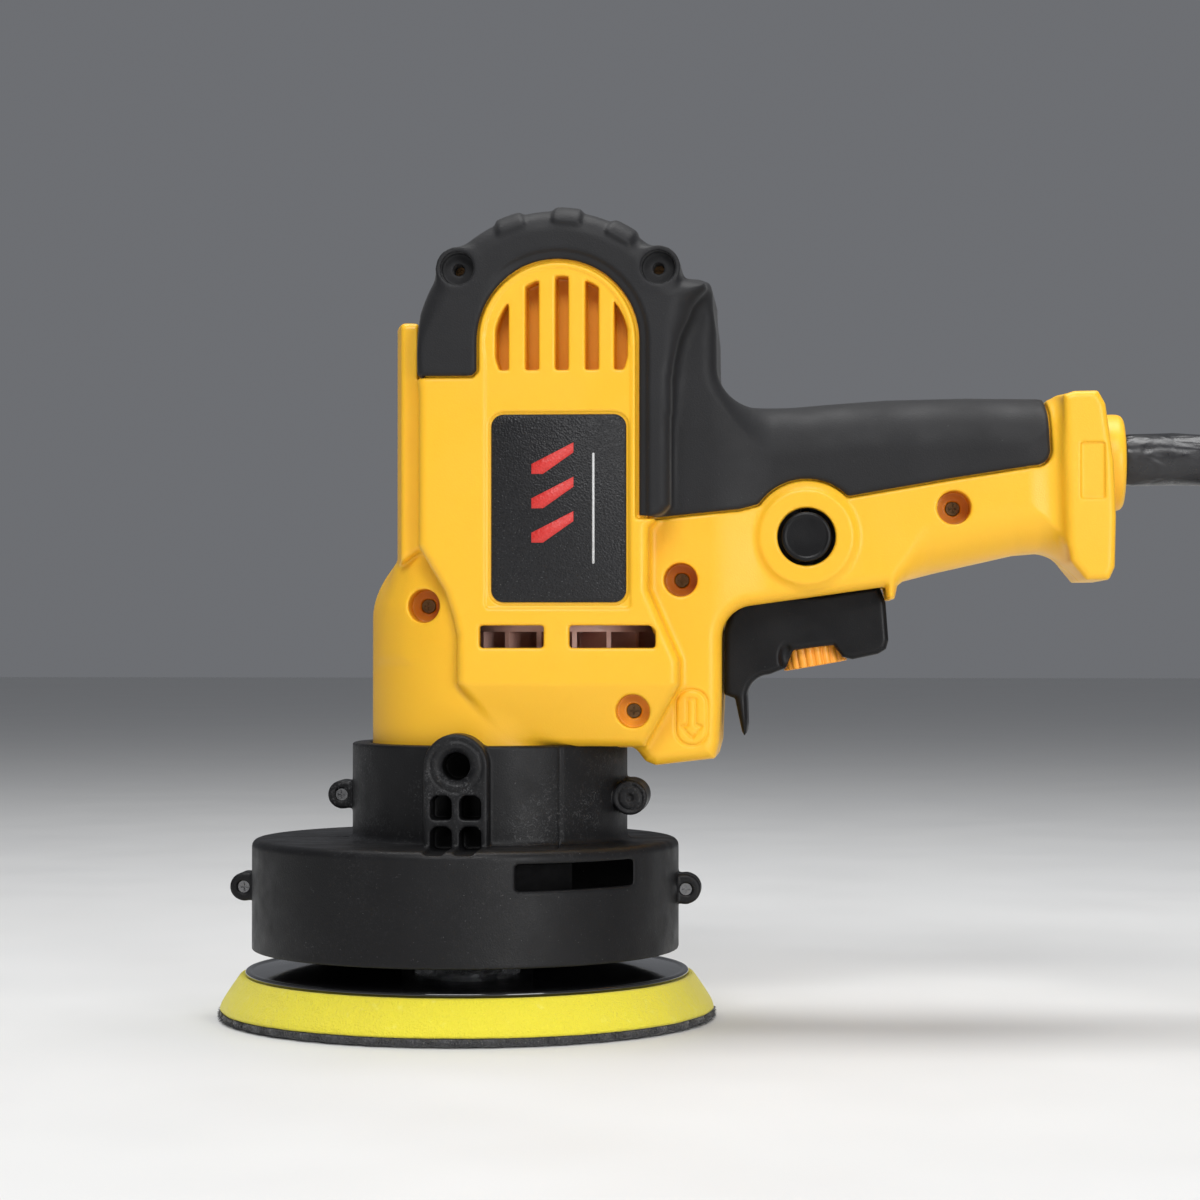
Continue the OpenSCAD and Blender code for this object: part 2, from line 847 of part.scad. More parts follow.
module armature_core() {
    color("gray")
        at_motor()
            difference() {
                translate([0, 0, stator_z + 1])
                    cylinder(r = armature_d / 2, h = stator_h - 2);
                cylinder(r = shaft_r, h = 300);
                for (a = [0:30:330])
                    rotate(a)
                        translate([armature_d / 2 - 3.4, 0, 0]) {
                            cylinder(r = 2.3, h = 300);
                            box(0, 6, -0.8, 0.8, 0, 300);
                        }
            }
}

module armature_windings() {
    color("#a8642a")
        at_motor() {
            for (a = [0:30:330])
                rotate(a)
                    translate([armature_d / 2 - 3.4, 0, stator_z + 0.5])
                        cylinder(r = 2.1, h = stator_h - 1);
            ring(armature_d / 2 - 0.6, shaft_r + 0.6, stator_z - 5.5, 6.4);
            ring(armature_d / 2 - 0.6, shaft_r + 0.6, stator_z + stator_h - 0.9, 5.4);
        }
}

module commutator() {
    color("#b8733a")
        at_motor()
            difference() {
                union() {
                    ring(10, shaft_r, brush_z - 7, 14);
                    ring(11, shaft_r, brush_z - 7.4, 1.8);
                }
                for (a = [0:15:345])
                    rotate(a)
                        box(9, 12, -0.3, 0.3, brush_z - 8, brush_z + 8);
            }
}

module fan() {
    color("#e9dccb")
        at_motor() {
            ring(8, shaft_r, fan_z, fan_h);
            ring(fan_d / 2, 7.9, fan_z + fan_h - 1.6, 1.6);
            for (a = [0:20:340])
                rotate(a)
                    box(10.5, fan_d / 2 - 0.5, -0.6, 0.6, fan_z + 0.4, fan_z + fan_h - 1.5);
        }
}

module motor_pinion() {
    color("darkgray")
        at_motor()
            difference() {
                translate([0, 0, pinion_z])
                    linear_extrude(pinion_t)
                        rotate(180 / pinion_teeth)
                            gear_outline(pinion_teeth);
                cylinder(r = 2.9, h = 300);
            }
}

// ---------------------------------------------------------------- output spindle and hub

module spindle_bush() {
    color("#b08d57")
        ring(6, shaft_r + 0.03, 66.5, 8);
}

module spindle_bearing() {
    color("silver")
        bearing_outer(bearing_r, bearing_bore, bearing_t, spindle_bearing_z);
}
module spindle_bearing_ring() {
    color("silver")
        bearing_inner(bearing_r, bearing_bore, bearing_t, spindle_bearing_z);
}

module output_spindle() {
    color("silver")
        difference() {
            union() {
                translate([0, 0, 33.5])
                    cylinder(r = bearing_bore, h = 57 - 33.5);
                translate([0, 0, 57 - eps])
                    cylinder(r = 5, h = gear_z + gear_t + 0.6 - 57);
                translate([0, 0, 64])
                    cylinder(r = shaft_r, h = 11);
            }
            box(3.6, 8, -1.5, 1.5, gear_z, gear_z + gear_t + 2);
        }
}

module gear_key() {
    color("darkgray")
        box(3.6, 6.4, -1.5, 1.5, gear_z, gear_z + gear_t);
}

module output_gear() {
    color("darkgray")
        translate([0, 0, gear_z])
            difference() {
                linear_extrude(gear_t)
                    gear_outline(gear_teeth);
                translate([0, 0, -1])
                    cylinder(r = 5, h = 20);
                box(0, 6.4, -1.5, 1.5, -1, 20);
                for (z = [-1, gear_t - 1.2])
                    translate([0, 0, z])
                        difference() {
                            cylinder(r = 16.5, h = 2.2);
                            translate([0, 0, -1])
                                cylinder(r = 9, h = 5);
                        }
            }
}

// Steel hub: seat of the pad's bearing on one side, counterweight on the other
module eccentric_hub() {
    color("dimgray")
        difference() {
            union() {
                at_pad()
                    translate([0, 0, hub_z])
                        cylinder(r = bearing_r + 3.4, h = 10.4);
                translate([0, 0, hub_z + 6])
                    cylinder(r = 13, h = 41.4 - hub_z - 6);
                intersection() {
                    ring(45, 12, 30.5, 10.9);
                    union() {
                        rotate(-90)
                            linear_extrude(60)
                                polygon([[0, 0], [60, -52], [60, 52]]);
                    }
                }
            }
            // seat of the pad's bearing, with room over its inner ring
            at_pad() {
                cylinder(r = bearing_r, h = hub_z + 0.8 + bearing_t);
                cylinder(r = bearing_r - 3, h = hub_z + 1.4 + bearing_t);
            }
            translate([0, 0, 33.5])
                cylinder(r = bearing_bore, h = 20);
            // threaded hole of the clamping screw, from the side
            translate([0, 0, 37.5])
                rotate([0, 90, 0])
                    cylinder(r = 2, h = 20);
        }
}

module hub_screw() {
    color("#3a3a3c")
        difference() {
            x_pin(6.05, 12.8, 0, 37.5, 2);
            translate([11, 0, 37.5])
                rotate([0, 90, 0])
                    cylinder(r = 1.15, h = 3, $fn = 6);
        }
}

module pad_bearing() {
    color("silver")
        at_pad()
            bearing_outer(bearing_r, bearing_bore, bearing_t, hub_z + 0.8);
}
module pad_bearing_ring() {
    color("silver")
        at_pad()
            bearing_inner(bearing_r, bearing_bore, bearing_t, hub_z + 0.8);
}

module bearing_circlip() {
    color("#3a3a3c")
        at_pad()
            difference() {
                ring(bearing_r, bearing_r - 1.6, hub_z, 0.75);
                box(-2, 2, 0, 20, 0, 60);
            }
}

module pad_spindle() {
    color("silver")
        at_pad() {
            translate([0, 0, hub_z + 0.8])
                cylinder(r = bearing_bore, h = bearing_t);
            translate([0, 0, hub_z - 0.6])
                cylinder(r = 7.6, h = 1.4);
            translate([0, 0, 20.2])
                cylinder(r = 8.5 / cos(30), h = hub_z - 0.6 - 20.2 + eps, $fn = 6);
            translate([0, 0, 11.5])
                cylinder(r = 4, h = 10);
        }
}

// ---------------------------------------------------------------- pad

module backing_plate() {
    color("#161618")
        at_pad()
            difference() {
                rotate_extrude()
                    polygon([[0, plate_z], [plate_r - 0.4, plate_z], [plate_r, plate_z + 0.4],
                        [plate_r, plate_z + 1.1], [plate_r - 1.2, plate_z + 1.4], [40, 13.6],
                        [22, 14.4], [15, 15.4], [13, 20.2], [0, 20.2]]);
                translate([0, 0, 11.5])
                    cylinder(r = 4, h = 20);
            }
}

module pad_foam() {
    color("#e6d830")
        at_pad()
            translate([0, 0, hook_t])
                cylinder(r1 = pad_d / 2, r2 = plate_r + 0.5, h = foam_t);
}

module pad_hook_face() {
    color("#1b1b1d")
        at_pad()
            cylinder(r = pad_d / 2, h = hook_t);
}

// ---------------------------------------------------------------- switch, trigger, dial, button

module switch_body() {
    color("#202022")
        difference() {
            union() {
                box(69, 103, -9, 9, 114, 134);
                box(100, 107, -6, 6, 118, 130);
            }
            translate([plunger_x, 0, 110])
                cylinder(r = 3.3, h = 14);
            y_pin(button_x, button_z + 6, 1.4, -10, 10);
        }
}

module trigger() {
    color("#1c1c1e")
        difference() {
            union() {
                along_y(-10.2, 10.2)
                    polygon([[65.9, 81], [66.1, 98], [68.2, 103.4], [72, 105.8], [76, 106.4],
                        [104.4, 107.2], [105.4, 104.1], [105.9, 94.8], [105.2, 92], [103.4, 91],
                        [97, 89.9], [94.6, 90.2], [91.8, 93.9], [82.4, 92.2], [80.2, 87.8],
                        [75.6, 86], [72.6, 82.6], [71.7, 79.6], [71.3, 72.8], [70.4, 71.2],
                        [69.5, 72.8], [68.1, 80.4]]);
                translate([plunger_x, 0, 105])
                    cylinder(r = 2.9, h = 13.5);
            }
            dial_frame() {
                translate([0, 0, -6])
                    cylinder(r = 8.5, h = 9.3);
                cylinder(r = 1.6, h = 9.5);
            }
        }
}

module dial_frame() {
    translate([dial_x, 0, dial_z])
        rotate([0, dial_tilt, 0])
            children();
}

module speed_dial() {
    color("orange")
        dial_frame() {
            difference() {
                translate([0, 0, -2.9])
                    cylinder(r = 8, h = 5.6);
                for (a = [0:18:342])
                    rotate(a)
                        translate([8.7, 0, -4])
                            cylinder(r = 1.1, h = 8);
            }
            cylinder(r = 1.5, h = 9);
        }
}

module lock_button() {
    color("#151517")
        union() {
            y_pin(button_x, button_z, 6.1, -20.3, -15.4);
            y_pin(button_x, button_z, 2.4, -16, -12.6);
        }
}

module trigger_spring() {
    color("silver")
        translate([plunger_x, 0, 106.75])
            coil_spring(4.1, 0.45, 7.2, 4);
}

module lock_spring() {
    color("silver")
        translate([button_x, -9.05, button_z])
            rotate([90, 0, 0])
                coil_spring(3.6, 0.4, 6.25, 3);
}

module suppression_capacitor() {
    color("#d8c23a")
        box(112, 128, -6, 6, 141, 149);
}

// ---------------------------------------------------------------- cord and plug

module cord_clamp() {
    color("#2a2a2c")
        difference() {
            box(143.6, 148.6, -11, 11, 143.2, 146.6);
            x_pin(140, 152, 0, exit_z, cord_d / 2 + 0.1);
        }
}

module cord_clamp_screws() {
    color("silver")
        for (s = [left, right])
            translate([146.1, s * 8, 0]) {
                translate([0, 0, 134])
                    cylinder(r = 1.4, h = 9.2);
                translate([0, 0, 146.65])
                    cylinder(r = 2.6, h = 1.6);
            }
}

module inner_leads() {
    color("#2a2a2e")
        for (route = lead_tubes)
            tube(smooth_route(route, 3), 1.3, 8);
}

// Tapered rubber boot round the cord where it leaves the handle
module strain_relief() {
    color("#1c1c1e") {
        difference() {
            union() {
                x_pin(152, 188, 0, exit_z, 5);
                x_pin(exit_x + 0.2, 190, 0, exit_z, 6.5);
                x_pin(190, boot_end, 0, exit_z, 6.5, 4.6);
            }
            x_pin(140, 220, 0, exit_z, cord_d / 2);
        }
    }
    // the cord itself inside the boot, as far as its mouth
    color("#1c1c1e")
        x_pin(142, boot_end - 1, 0, exit_z, cord_d / 2);
}

module cord_lead() {
    color("#18181a")
        tube(smooth_route(lead_route, 2), cord_d / 2, 10);
    color("#18181a")
        tube(smooth_route(tail_route, 2), cord_d / 2, 10);
}

module cord_coil() {
    color("#18181a")
        translate([coil_x, coil_y, 0])
            rotate_extrude()
                translate([coil_r, 0])
                    rounded(-coil_half, coil_half, 0, coil_h, 3);
}

// A child drawn with its cord towards +X, laid in the plug's place
module at_plug() {
    translate(plug_place)
        rotate(90)
            children();
}

module plug_body() {
    color("#18181a")
        at_plug() {
            x_pin(20, 36, 0, 0, 6.6, 4.4);
            hull() {
                x_pin(18, 21, 0, 0, 7, $fn = 32);
                box(0, 2, -14, 14, -8.5, 8.5);
                box(10, 12, -12, 12, -8.5, 8.5);
            }
        }
}

module plug_pins() {
    color("gold")
        at_plug()
            for (s = [left, right])
                box(-18, 0, s * 6.35 - 0.75, s * 6.35 + 0.75, -3.15, 3.15);
}

// ---------------------------------------------------------------- the nodes

left_housing();
right_housing();
left_grip();
right_grip();
left_label();
right_label();
housing_screws();
left_shroud();
right_shroud();
shroud_screws();
side_handle_nuts();
gear_case();
gear_plate();
gear_plate_screws();
stator_core();
field_coils();
brush_holders();
carbon_brushes();
brush_springs();
fan_baffle();
motor_bearings();
spindle_bush();
spindle_bearing();
switch_body();
suppression_capacitor();
cord_clamp();
cord_clamp_screws();
inner_leads();
trigger_spring();
lock_spring();
strain_relief();
cord_lead();
cord_coil();
plug_body();
plug_pins();
armature_shaft();
armature_core();
armature_windings();
commutator();
fan();
motor_pinion();
motor_bearing_rings();
output_gear();
output_spindle();
gear_key();
spindle_bearing_ring();
eccentric_hub();
hub_screw();
pad_bearing();
bearing_circlip();
pad_spindle();
pad_bearing_ring();
backing_plate();
pad_foam();
pad_hook_face();
trigger();
speed_dial();
lock_button();
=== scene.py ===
"""Looks of the polisher: moulded shells, grips, shroud, trigger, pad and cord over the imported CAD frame."""

import math

import bpy
import numpy as np
import openvdb
from mathutils import Matrix, Vector


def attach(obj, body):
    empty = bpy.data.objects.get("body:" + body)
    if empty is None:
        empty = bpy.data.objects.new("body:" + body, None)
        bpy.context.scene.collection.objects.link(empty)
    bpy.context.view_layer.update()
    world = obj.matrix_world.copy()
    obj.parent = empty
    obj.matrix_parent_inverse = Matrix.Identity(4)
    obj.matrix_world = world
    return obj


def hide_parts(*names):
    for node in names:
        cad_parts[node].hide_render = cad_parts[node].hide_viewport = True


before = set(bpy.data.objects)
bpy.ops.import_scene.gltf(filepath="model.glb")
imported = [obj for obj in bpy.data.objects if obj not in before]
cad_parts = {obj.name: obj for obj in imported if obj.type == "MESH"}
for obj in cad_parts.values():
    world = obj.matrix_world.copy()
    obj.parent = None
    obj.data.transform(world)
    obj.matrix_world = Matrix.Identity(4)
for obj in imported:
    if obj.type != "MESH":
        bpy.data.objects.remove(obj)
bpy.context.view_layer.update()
MM = 0.001
STEP = 0.5
EYE = (0.0853, -0.753, 0.0961)
SIGHT = (-0.0683, 1.0, 0.0117)   # the way the camera looks


# ---- camera, floor and light

def add_object(name, data):
    obj = bpy.data.objects.new(name, data)
    bpy.context.scene.collection.objects.link(obj)
    return obj


def aim(obj, at):
    obj.rotation_euler = (Vector(at) - obj.location).to_track_quat("-Z", "Y").to_euler()


def make_camera():
    data = bpy.data.cameras.new("camera")
    data.lens = 90
    data.sensor_width = 36
    cam = add_object("camera", data)
    cam.location = EYE
    aim(cam, [a + b for a, b in zip(EYE, SIGHT)])
    bpy.context.scene.camera = cam
    bpy.context.scene.view_settings.view_transform = "Standard"


def area_light(name, place, at, size, power, colour=(1, 1, 1)):
    data = bpy.data.lights.new(name, "AREA")
    data.shape = "RECTANGLE"
    data.size, data.size_y = size
    data.energy = power
    data.color = colour
    lamp = add_object(name, data)
    lamp.location = place
    aim(lamp, at)


def make_stage(floor_material):
    corner = 6.0
    mesh = bpy.data.meshes.new("floor")
    mesh.from_pydata([(-corner, -corner, -0.0002), (corner, -corner, -0.0002),
                      (corner, corner, -0.0002), (-corner, corner, -0.0002)], [], [(0, 1, 2, 3)])
    mesh.materials.append(floor_material)
    add_object("floor", mesh)
    world = bpy.data.worlds.new("studio")
    bpy.context.scene.world = world
    world.use_nodes = True
    back = world.node_tree.nodes["Background"]
    back.inputs["Color"].default_value = (0.9, 0.93, 1.0, 1)
    back.inputs["Strength"].default_value = 0.17
    middle = (0.05, 0, 0.1)
    area_light("key", (-0.02, -1.2, 1.1), middle, (0.7, 0.5), 12)
    area_light("fill", (0.85, -1.2, 0.3), middle, (0.5, 0.6), 7.5)
    area_light("top", (0.05, 0.1, 1.1), middle, (0.9, 0.45), 9)


# ---- materials

class Finish:
    """A procedural material on the Principled shader, with its pattern in millimetres."""

    def __init__(self, name, colour, rough, metal=0.0, spec=0.5):
        self.material = bpy.data.materials.new(name)
        self.material.use_nodes = True
        self.tree = self.material.node_tree
        self.shader = self.tree.nodes["Principled BSDF"]
        self.colour = colour
        self.rough = rough
        self.shader.inputs["Base Color"].default_value = (*colour, 1)
        self.shader.inputs["Roughness"].default_value = rough
        self.shader.inputs["Metallic"].default_value = metal
        self.shader.inputs["Specular IOR Level"].default_value = spec
        coord = self.tree.nodes.new("ShaderNodeTexCoord")
        scale = self.tree.nodes.new("ShaderNodeVectorMath")
        scale.operation = "SCALE"
        scale.inputs["Scale"].default_value = 1000
        self.tree.links.new(coord.outputs["Object"], scale.inputs[0])
        self.place = scale.outputs[0]
        self.colour_out = None
        self.rough_out = None
        self.height = None

    def put(self, kind, **values):
        node = self.tree.nodes.new(kind)
        for key, value in values.items():
            if hasattr(node, key):
                setattr(node, key, value)
            else:
                node.inputs[key.replace("_", " ")].default_value = value
        return node

    def link(self, a, b):
        self.tree.links.new(a, b)

    def stretched(self, xyz):
        node = self.put("ShaderNodeVectorMath", operation="MULTIPLY")
        node.inputs[1].default_value = xyz
        self.link(self.place, node.inputs[0])
        return node.outputs[0]

    def noise(self, size, detail=3.0, rough=0.5, stretch=None, distort=0.0):
        """Cloudy pattern whose lumps are about size millimetres across, from 0 to 1."""
        node = self.put("ShaderNodeTexNoise", Scale=1.0 / size, Detail=detail, Roughness=rough,
                        Distortion=distort)
        self.link(self.stretched(stretch) if stretch else self.place, node.inputs["Vector"])
        return node.outputs["Fac"]

    def cells(self, size, feature="F1", stretch=None):
        node = self.put("ShaderNodeTexVoronoi", feature=feature, Scale=1.0 / size)
        self.link(self.stretched(stretch) if stretch else self.place, node.inputs["Vector"])
        return node.outputs["Distance"]

    def between(self, value, low, high, to_low=0.0, to_high=1.0):
        node = self.put("ShaderNodeMapRange")
        node.clamp = True
        for key, number in (("From Min", low), ("From Max", high), ("To Min", to_low),
                            ("To Max", to_high)):
            node.inputs[key].default_value = number
        self.link(value, node.inputs["Value"])
        return node.outputs["Result"]

    def shade_by_depth(self, low, high, most=1.0):
        """How deep a point lies below the moulded face, from 0 at low to most at high; the mask for painted
        shade in hollows.
        """
        node = self.put("ShaderNodeAttribute", attribute_name="sink")
        return self.between(node.outputs["Fac"], low, high, 0, most)

    def maths(self, operation, a, b):
        node = self.put("ShaderNodeMath", operation=operation)
        for socket, value in zip(node.inputs, (a, b)):
            if isinstance(value, (int, float)):
                socket.default_value = value
            else:
                self.link(value, socket)
        return node.outputs[0]

    def tint(self, mask, colour):
        """Blends another colour over what there is, where mask is 1."""
        node = self.put("ShaderNodeMix", data_type="RGBA")
        self.link(mask, node.inputs["Factor"])
        below, above = [s for s in node.inputs if s.type == "RGBA"]
        if self.colour_out is None:
            below.default_value = (*self.colour, 1)
        else:
            self.link(self.colour_out, below)
        above.default_value = (*colour, 1)
        self.colour_out = [s for s in node.outputs if s.type == "RGBA"][0]

    def patches(self, size, detail, low, high, most, colour):
        """Cloudy patches of another colour, up to a share of most."""
        self.tint(self.between(self.noise(size, detail), low, high, 0, most), colour)

    def gloss(self, pattern, low, high):
        """Roughness that follows a pattern, from low to high."""
        self.rough_out = self.between(pattern, 0.3, 0.7, low, high)

    def relief(self, pattern, depth):
        """Adds a pattern to the surface's height, depth millimetres deep."""
        part = self.maths("MULTIPLY", pattern, depth * MM)
        self.height = part if self.height is None else self.maths("ADD", self.height, part)

    def done(self):
        if self.colour_out is not None:
            self.link(self.colour_out, self.shader.inputs["Base Color"])
        if self.rough_out is not None:
            self.link(self.rough_out, self.shader.inputs["Roughness"])
        if self.height is not None:
            bump = self.put("ShaderNodeBump", Strength=1.0, Distance=1.0)
            self.link(self.height, bump.inputs["Height"])
            self.link(bump.outputs["Normal"], self.shader.inputs["Normal"])
        return self.material

    def set(self, **values):
        for key, value in values.items():
            self.shader.inputs[key.replace("_", " ")].default_value = value


def yellow_plastic():
    f = Finish("housing_plastic", (0.93, 0.50, 0.024), 0.38, spec=0.4)
    f.patches(38, 3, 0.35, 0.7, 0.35, (0.96, 0.54, 0.035))
    f.patches(9, 4, 0.62, 0.75, 0.12, (0.84, 0.42, 0.015))
    f.patches(0.5, 2, 0.76, 0.8, 0.35, (0.45, 0.22, 0.02))
    # painted shade: the housing is coloured darker and more orange the deeper it lies below the moulded face,
    # in the slots, wells and recesses, as shade and bounced light
    f.tint(f.shade_by_depth(0.7, 4, 0.6), (0.88, 0.36, 0.015))
    f.tint(f.shade_by_depth(4, 12, 0.9), (0.44, 0.11, 0.006))
    f.gloss(f.noise(14, 4), 0.33, 0.45)
    f.relief(f.noise(0.35, 2), 0.035)
    f.relief(f.noise(24, 2), 0.12)
    f.set(Subsurface_Weight=0.12, Subsurface_Scale=0.0012, Subsurface_Radius=(1.0, 0.45, 0.1))
    return f.done()


def grip_rubber():
    f = Finish("grip_rubber", (0.013, 0.013, 0.0142), 0.52, spec=0.26)
    f.patches(20, 4, 0.4, 0.75, 0.5, (0.02, 0.02, 0.022))
    f.patches(0.4, 1, 0.79, 0.82, 0.5, (0.16, 0.16, 0.16))
    scuff = f.noise(2.2, 5, 0.7, stretch=(1, 1, 0.15), distort=1.2)
    f.tint(f.between(scuff, 0.72, 0.8, 0, 0.16), (0.12, 0.12, 0.12))
    f.gloss(f.noise(11, 5), 0.48, 0.64)
    f.relief(f.noise(0.3, 2), 0.05)
    f.relief(f.cells(0.55), 0.02)
    f.set(Sheen_Weight=0.08, Sheen_Roughness=0.4)
    return f.done()


def shroud_plastic():
    f = Finish("shroud_plastic", (0.0075, 0.0075, 0.0083), 0.42, spec=0.22)
    f.patches(16, 4, 0.4, 0.75, 0.5, (0.013, 0.013, 0.0142))
    f.patches(0.5, 2, 0.72, 0.78, 0.6, (0.17, 0.17, 0.17))
    worn = f.between(f.noise(18, 3), 0.4, 0.62)
    fine = f.between(f.noise(0.9, 4, 0.75, distort=1.5), 0.54, 0.63)
    # the collar is scuffed, and the skirt under it is nearly clean
    level = f.put("ShaderNodeSeparateXYZ")
    f.link(f.place, level.inputs[0])
    share = f.between(level.outputs["Z"], 43, 47, 0.12, 0.8)
    f.tint(f.maths("MULTIPLY", f.maths("MULTIPLY", worn, fine), share), (0.09, 0.09, 0.093))
    hair = f.noise(1.4, 4, 0.6, stretch=(0.35, 0.35, 1.6), distort=2.0)
    f.tint(f.between(hair, 0.69, 0.75, 0, 0.3), (0.14, 0.14, 0.145))
    # painted shade: the shroud is coloured near black where it lies deeper than 1.2 mm below its face, in the
    # bore, windows and holes
    f.tint(f.shade_by_depth(1.2, 5), (0.002, 0.002, 0.002))
    f.gloss(f.noise(6, 5), 0.36, 0.52)
    f.relief(f.noise(0.4, 3), 0.06)
    f.relief(f.noise(13, 2), 0.14)
    # painted shade: the specular level also falls from 0.22 to 0.02 in the same hollows
    f.link(f.between(f.shade_by_depth(1.2, 5), 0, 1, 0.22, 0.02), f.shader.inputs["Specular IOR Level"])
    return f.done()


def trigger_plastic():
    f = Finish("trigger_plastic", (0.0065, 0.0065, 0.0072), 0.36, spec=0.2)
    f.patches(12, 4, 0.4, 0.75, 0.5, (0.011, 0.011, 0.012))
    f.patches(0.4, 1, 0.79, 0.82, 0.4, (0.15, 0.15, 0.15))
    f.gloss(f.noise(7, 4), 0.3, 0.44)
    f.relief(f.noise(0.3, 2), 0.03)
    return f.done()


def plate_plastic():
    f = Finish("plate_nylon", (0.010, 0.010, 0.011), 0.1, spec=0.6)
    f.patches(9, 4, 0.45, 0.75, 0.4, (0.018, 0.018, 0.02))
    f.patches(0.45, 1, 0.78, 0.81, 0.4, (0.2, 0.2, 0.2))
    f.gloss(f.noise(8, 5), 0.07, 0.17)
    f.relief(f.noise(7, 3), 0.05)
    f.set(Coat_Weight=0.6, Coat_Roughness=0.05)
    return f.done()


def foam():
    f = Finish("pad_foam", (0.80, 0.69, 0.045), 0.85, spec=0.25)
    f.patches(14, 4, 0.4, 0.7, 0.5, (0.82, 0.73, 0.04))
    f.patches(0.55, 3, 0.6, 0.78, 0.5, (0.60, 0.55, 0.02))
    f.patches(2.4, 4, 0.62, 0.74, 0.25, (0.93, 0.90, 0.25))
    f.gloss(f.noise(3, 3), 0.78, 0.92)
    f.relief(f.cells(0.45), 0.16)
    f.relief(f.noise(1.1, 4), 0.22)
    f.relief(f.noise(5.0, 3), 0.5)
    f.set(Sheen_Weight=0.25, Sheen_Roughness=0.5, Subsurface_Weight=0.15,
          Subsurface_Scale=0.002, Subsurface_Radius=(1.0, 0.9, 0.2))
    return f.done()


def hook_nylon():
    f = Finish("hook_nylon", (0.016, 0.016, 0.018), 0.6, spec=0.5)
    f.tint(f.between(f.cells(0.7), 0.1, 0.45, 0, 0.7), (0.05, 0.05, 0.055))
    f.patches(0.5, 2, 0.66, 0.74, 0.8, (0.32, 0.32, 0.32))
    f.gloss(f.noise(1, 3), 0.4, 0.8)
    f.relief(f.cells(0.6), 0.3)
    f.set(Sheen_Weight=0.3)
    return f.done()


def label_film():
    f = Finish("label_film", (0.009, 0.009, 0.01), 0.42, spec=0.24)
    grain = f.cells(0.5)
    f.tint(f.between(grain, 0.2, 0.5, 0, 0.6), (0.022, 0.022, 0.024))
    f.patches(0.45, 2, 0.64, 0.72, 0.6, (0.12, 0.12, 0.125))
    f.gloss(f.noise(3, 4), 0.32, 0.5)
    f.relief(grain, 0.11)
    f.relief(f.noise(0.7, 3), 0.06)
    return f.done()


def print_ink(name, colour):
    f = Finish(name, colour, 0.45)
    f.patches(0.35, 3, 0.55, 0.75, 0.5, tuple(c * 0.7 for c in colour))
    f.gloss(f.noise(1.5, 3), 0.35, 0.55)
    f.relief(f.cells(0.62), 0.1)
    return f.done()


def dial_plastic():
    f = Finish("dial_plastic", (0.93, 0.36, 0.03), 0.4)
    f.patches(3, 4, 0.4, 0.7, 0.5, (0.96, 0.42, 0.05))
    f.gloss(f.noise(2, 3), 0.34, 0.5)
    f.relief(f.noise(0.3, 2), 0.03)
    f.set(Subsurface_Weight=0.1, Subsurface_Scale=0.001, Subsurface_Radius=(1, 0.4, 0.1))
    return f.done()


def metal(name, colour, rough, brushed=(1, 1, 1), grime=0.25):
    f = Finish(name, colour, rough, metal=1.0)
    f.patches(3, 5, 0.5, 0.75, grime, tuple(c * 0.35 for c in colour))
    f.gloss(f.noise(1.2, 4, stretch=brushed), max(0.08, rough - 0.1), rough + 0.14)
    f.relief(f.noise(0.4, 3, stretch=brushed), 0.02)
    return f.done()


def cord_rubber():
    f = Finish("cord_rubber", (0.015, 0.015, 0.017), 0.4, spec=0.5)
    f.patches(9, 4, 0.4, 0.75, 0.6, (0.03, 0.03, 0.034))
    f.gloss(f.noise(4, 5), 0.22, 0.5)
    f.relief(f.noise(0.5, 3), 0.05)
    f.relief(f.noise(6, 4, 0.6, distort=0.8), 0.5)
    return f.done()


def boot_rubber():
    f = Finish("boot_rubber", (0.013, 0.013, 0.015), 0.3, spec=0.42)
    f.patches(5, 4, 0.45, 0.75, 0.6, (0.026, 0.026, 0.03))
    f.gloss(f.noise(3, 4), 0.24, 0.4)
    f.relief(f.noise(9, 2, 0.5, stretch=(0.7, 1.2, 1.2), distort=1.0), 1.3)
    f.relief(f.noise(0.6, 3), 0.03)
    f.set(Coat_Weight=0.15, Coat_Roughness=0.2)
    return f.done()


def painted(name, colour, rough=0.5, speck=0.25, grain=0.5, spec=0.5):
    f = Finish(name, colour, rough, spec=spec)
    f.patches(6, 4, 0.4, 0.7, speck, tuple(c * 0.55 for c in colour))
    f.gloss(f.noise(3, 4), max(0.1, rough - 0.08), rough + 0.1)
    f.relief(f.noise(grain, 3), 0.05)
    return f.done()


def enamelled_copper():
    f = Finish("enamelled_copper", (0.50, 0.17, 0.05), 0.3, metal=0.7)
    strand = f.noise(0.5, 2, stretch=(0.15, 0.15, 2.2))
    f.tint(f.between(strand, 0.42, 0.6, 0, 0.8), (0.24, 0.07, 0.02))
    f.gloss(f.noise(2, 3), 0.24, 0.42)
    f.relief(strand, 0.3)
    return f.done()


def lamination_steel():
    f = Finish("lamination_steel", (0.34, 0.35, 0.37), 0.42, metal=0.9)
    sheets = f.noise(0.5, 1, stretch=(0.02, 0.02, 2.0))
    f.tint(f.between(sheets, 0.4, 0.6, 0, 0.7), (0.16, 0.16, 0.17))
    f.gloss(f.noise(4, 4), 0.34, 0.55)
    f.relief(sheets, 0.12)
    return f.done()


def pale_floor():
    f = Finish("floor", (0.80, 0.80, 0.79), 0.6)
    f.patches(180, 3, 0.35, 0.7, 0.3, (0.76, 0.765, 0.77))
    f.gloss(f.noise(60, 3), 0.52, 0.66)
    f.relief(f.noise(2.5, 3), 0.03)
    return f.done()


# ---- cord, before the rest

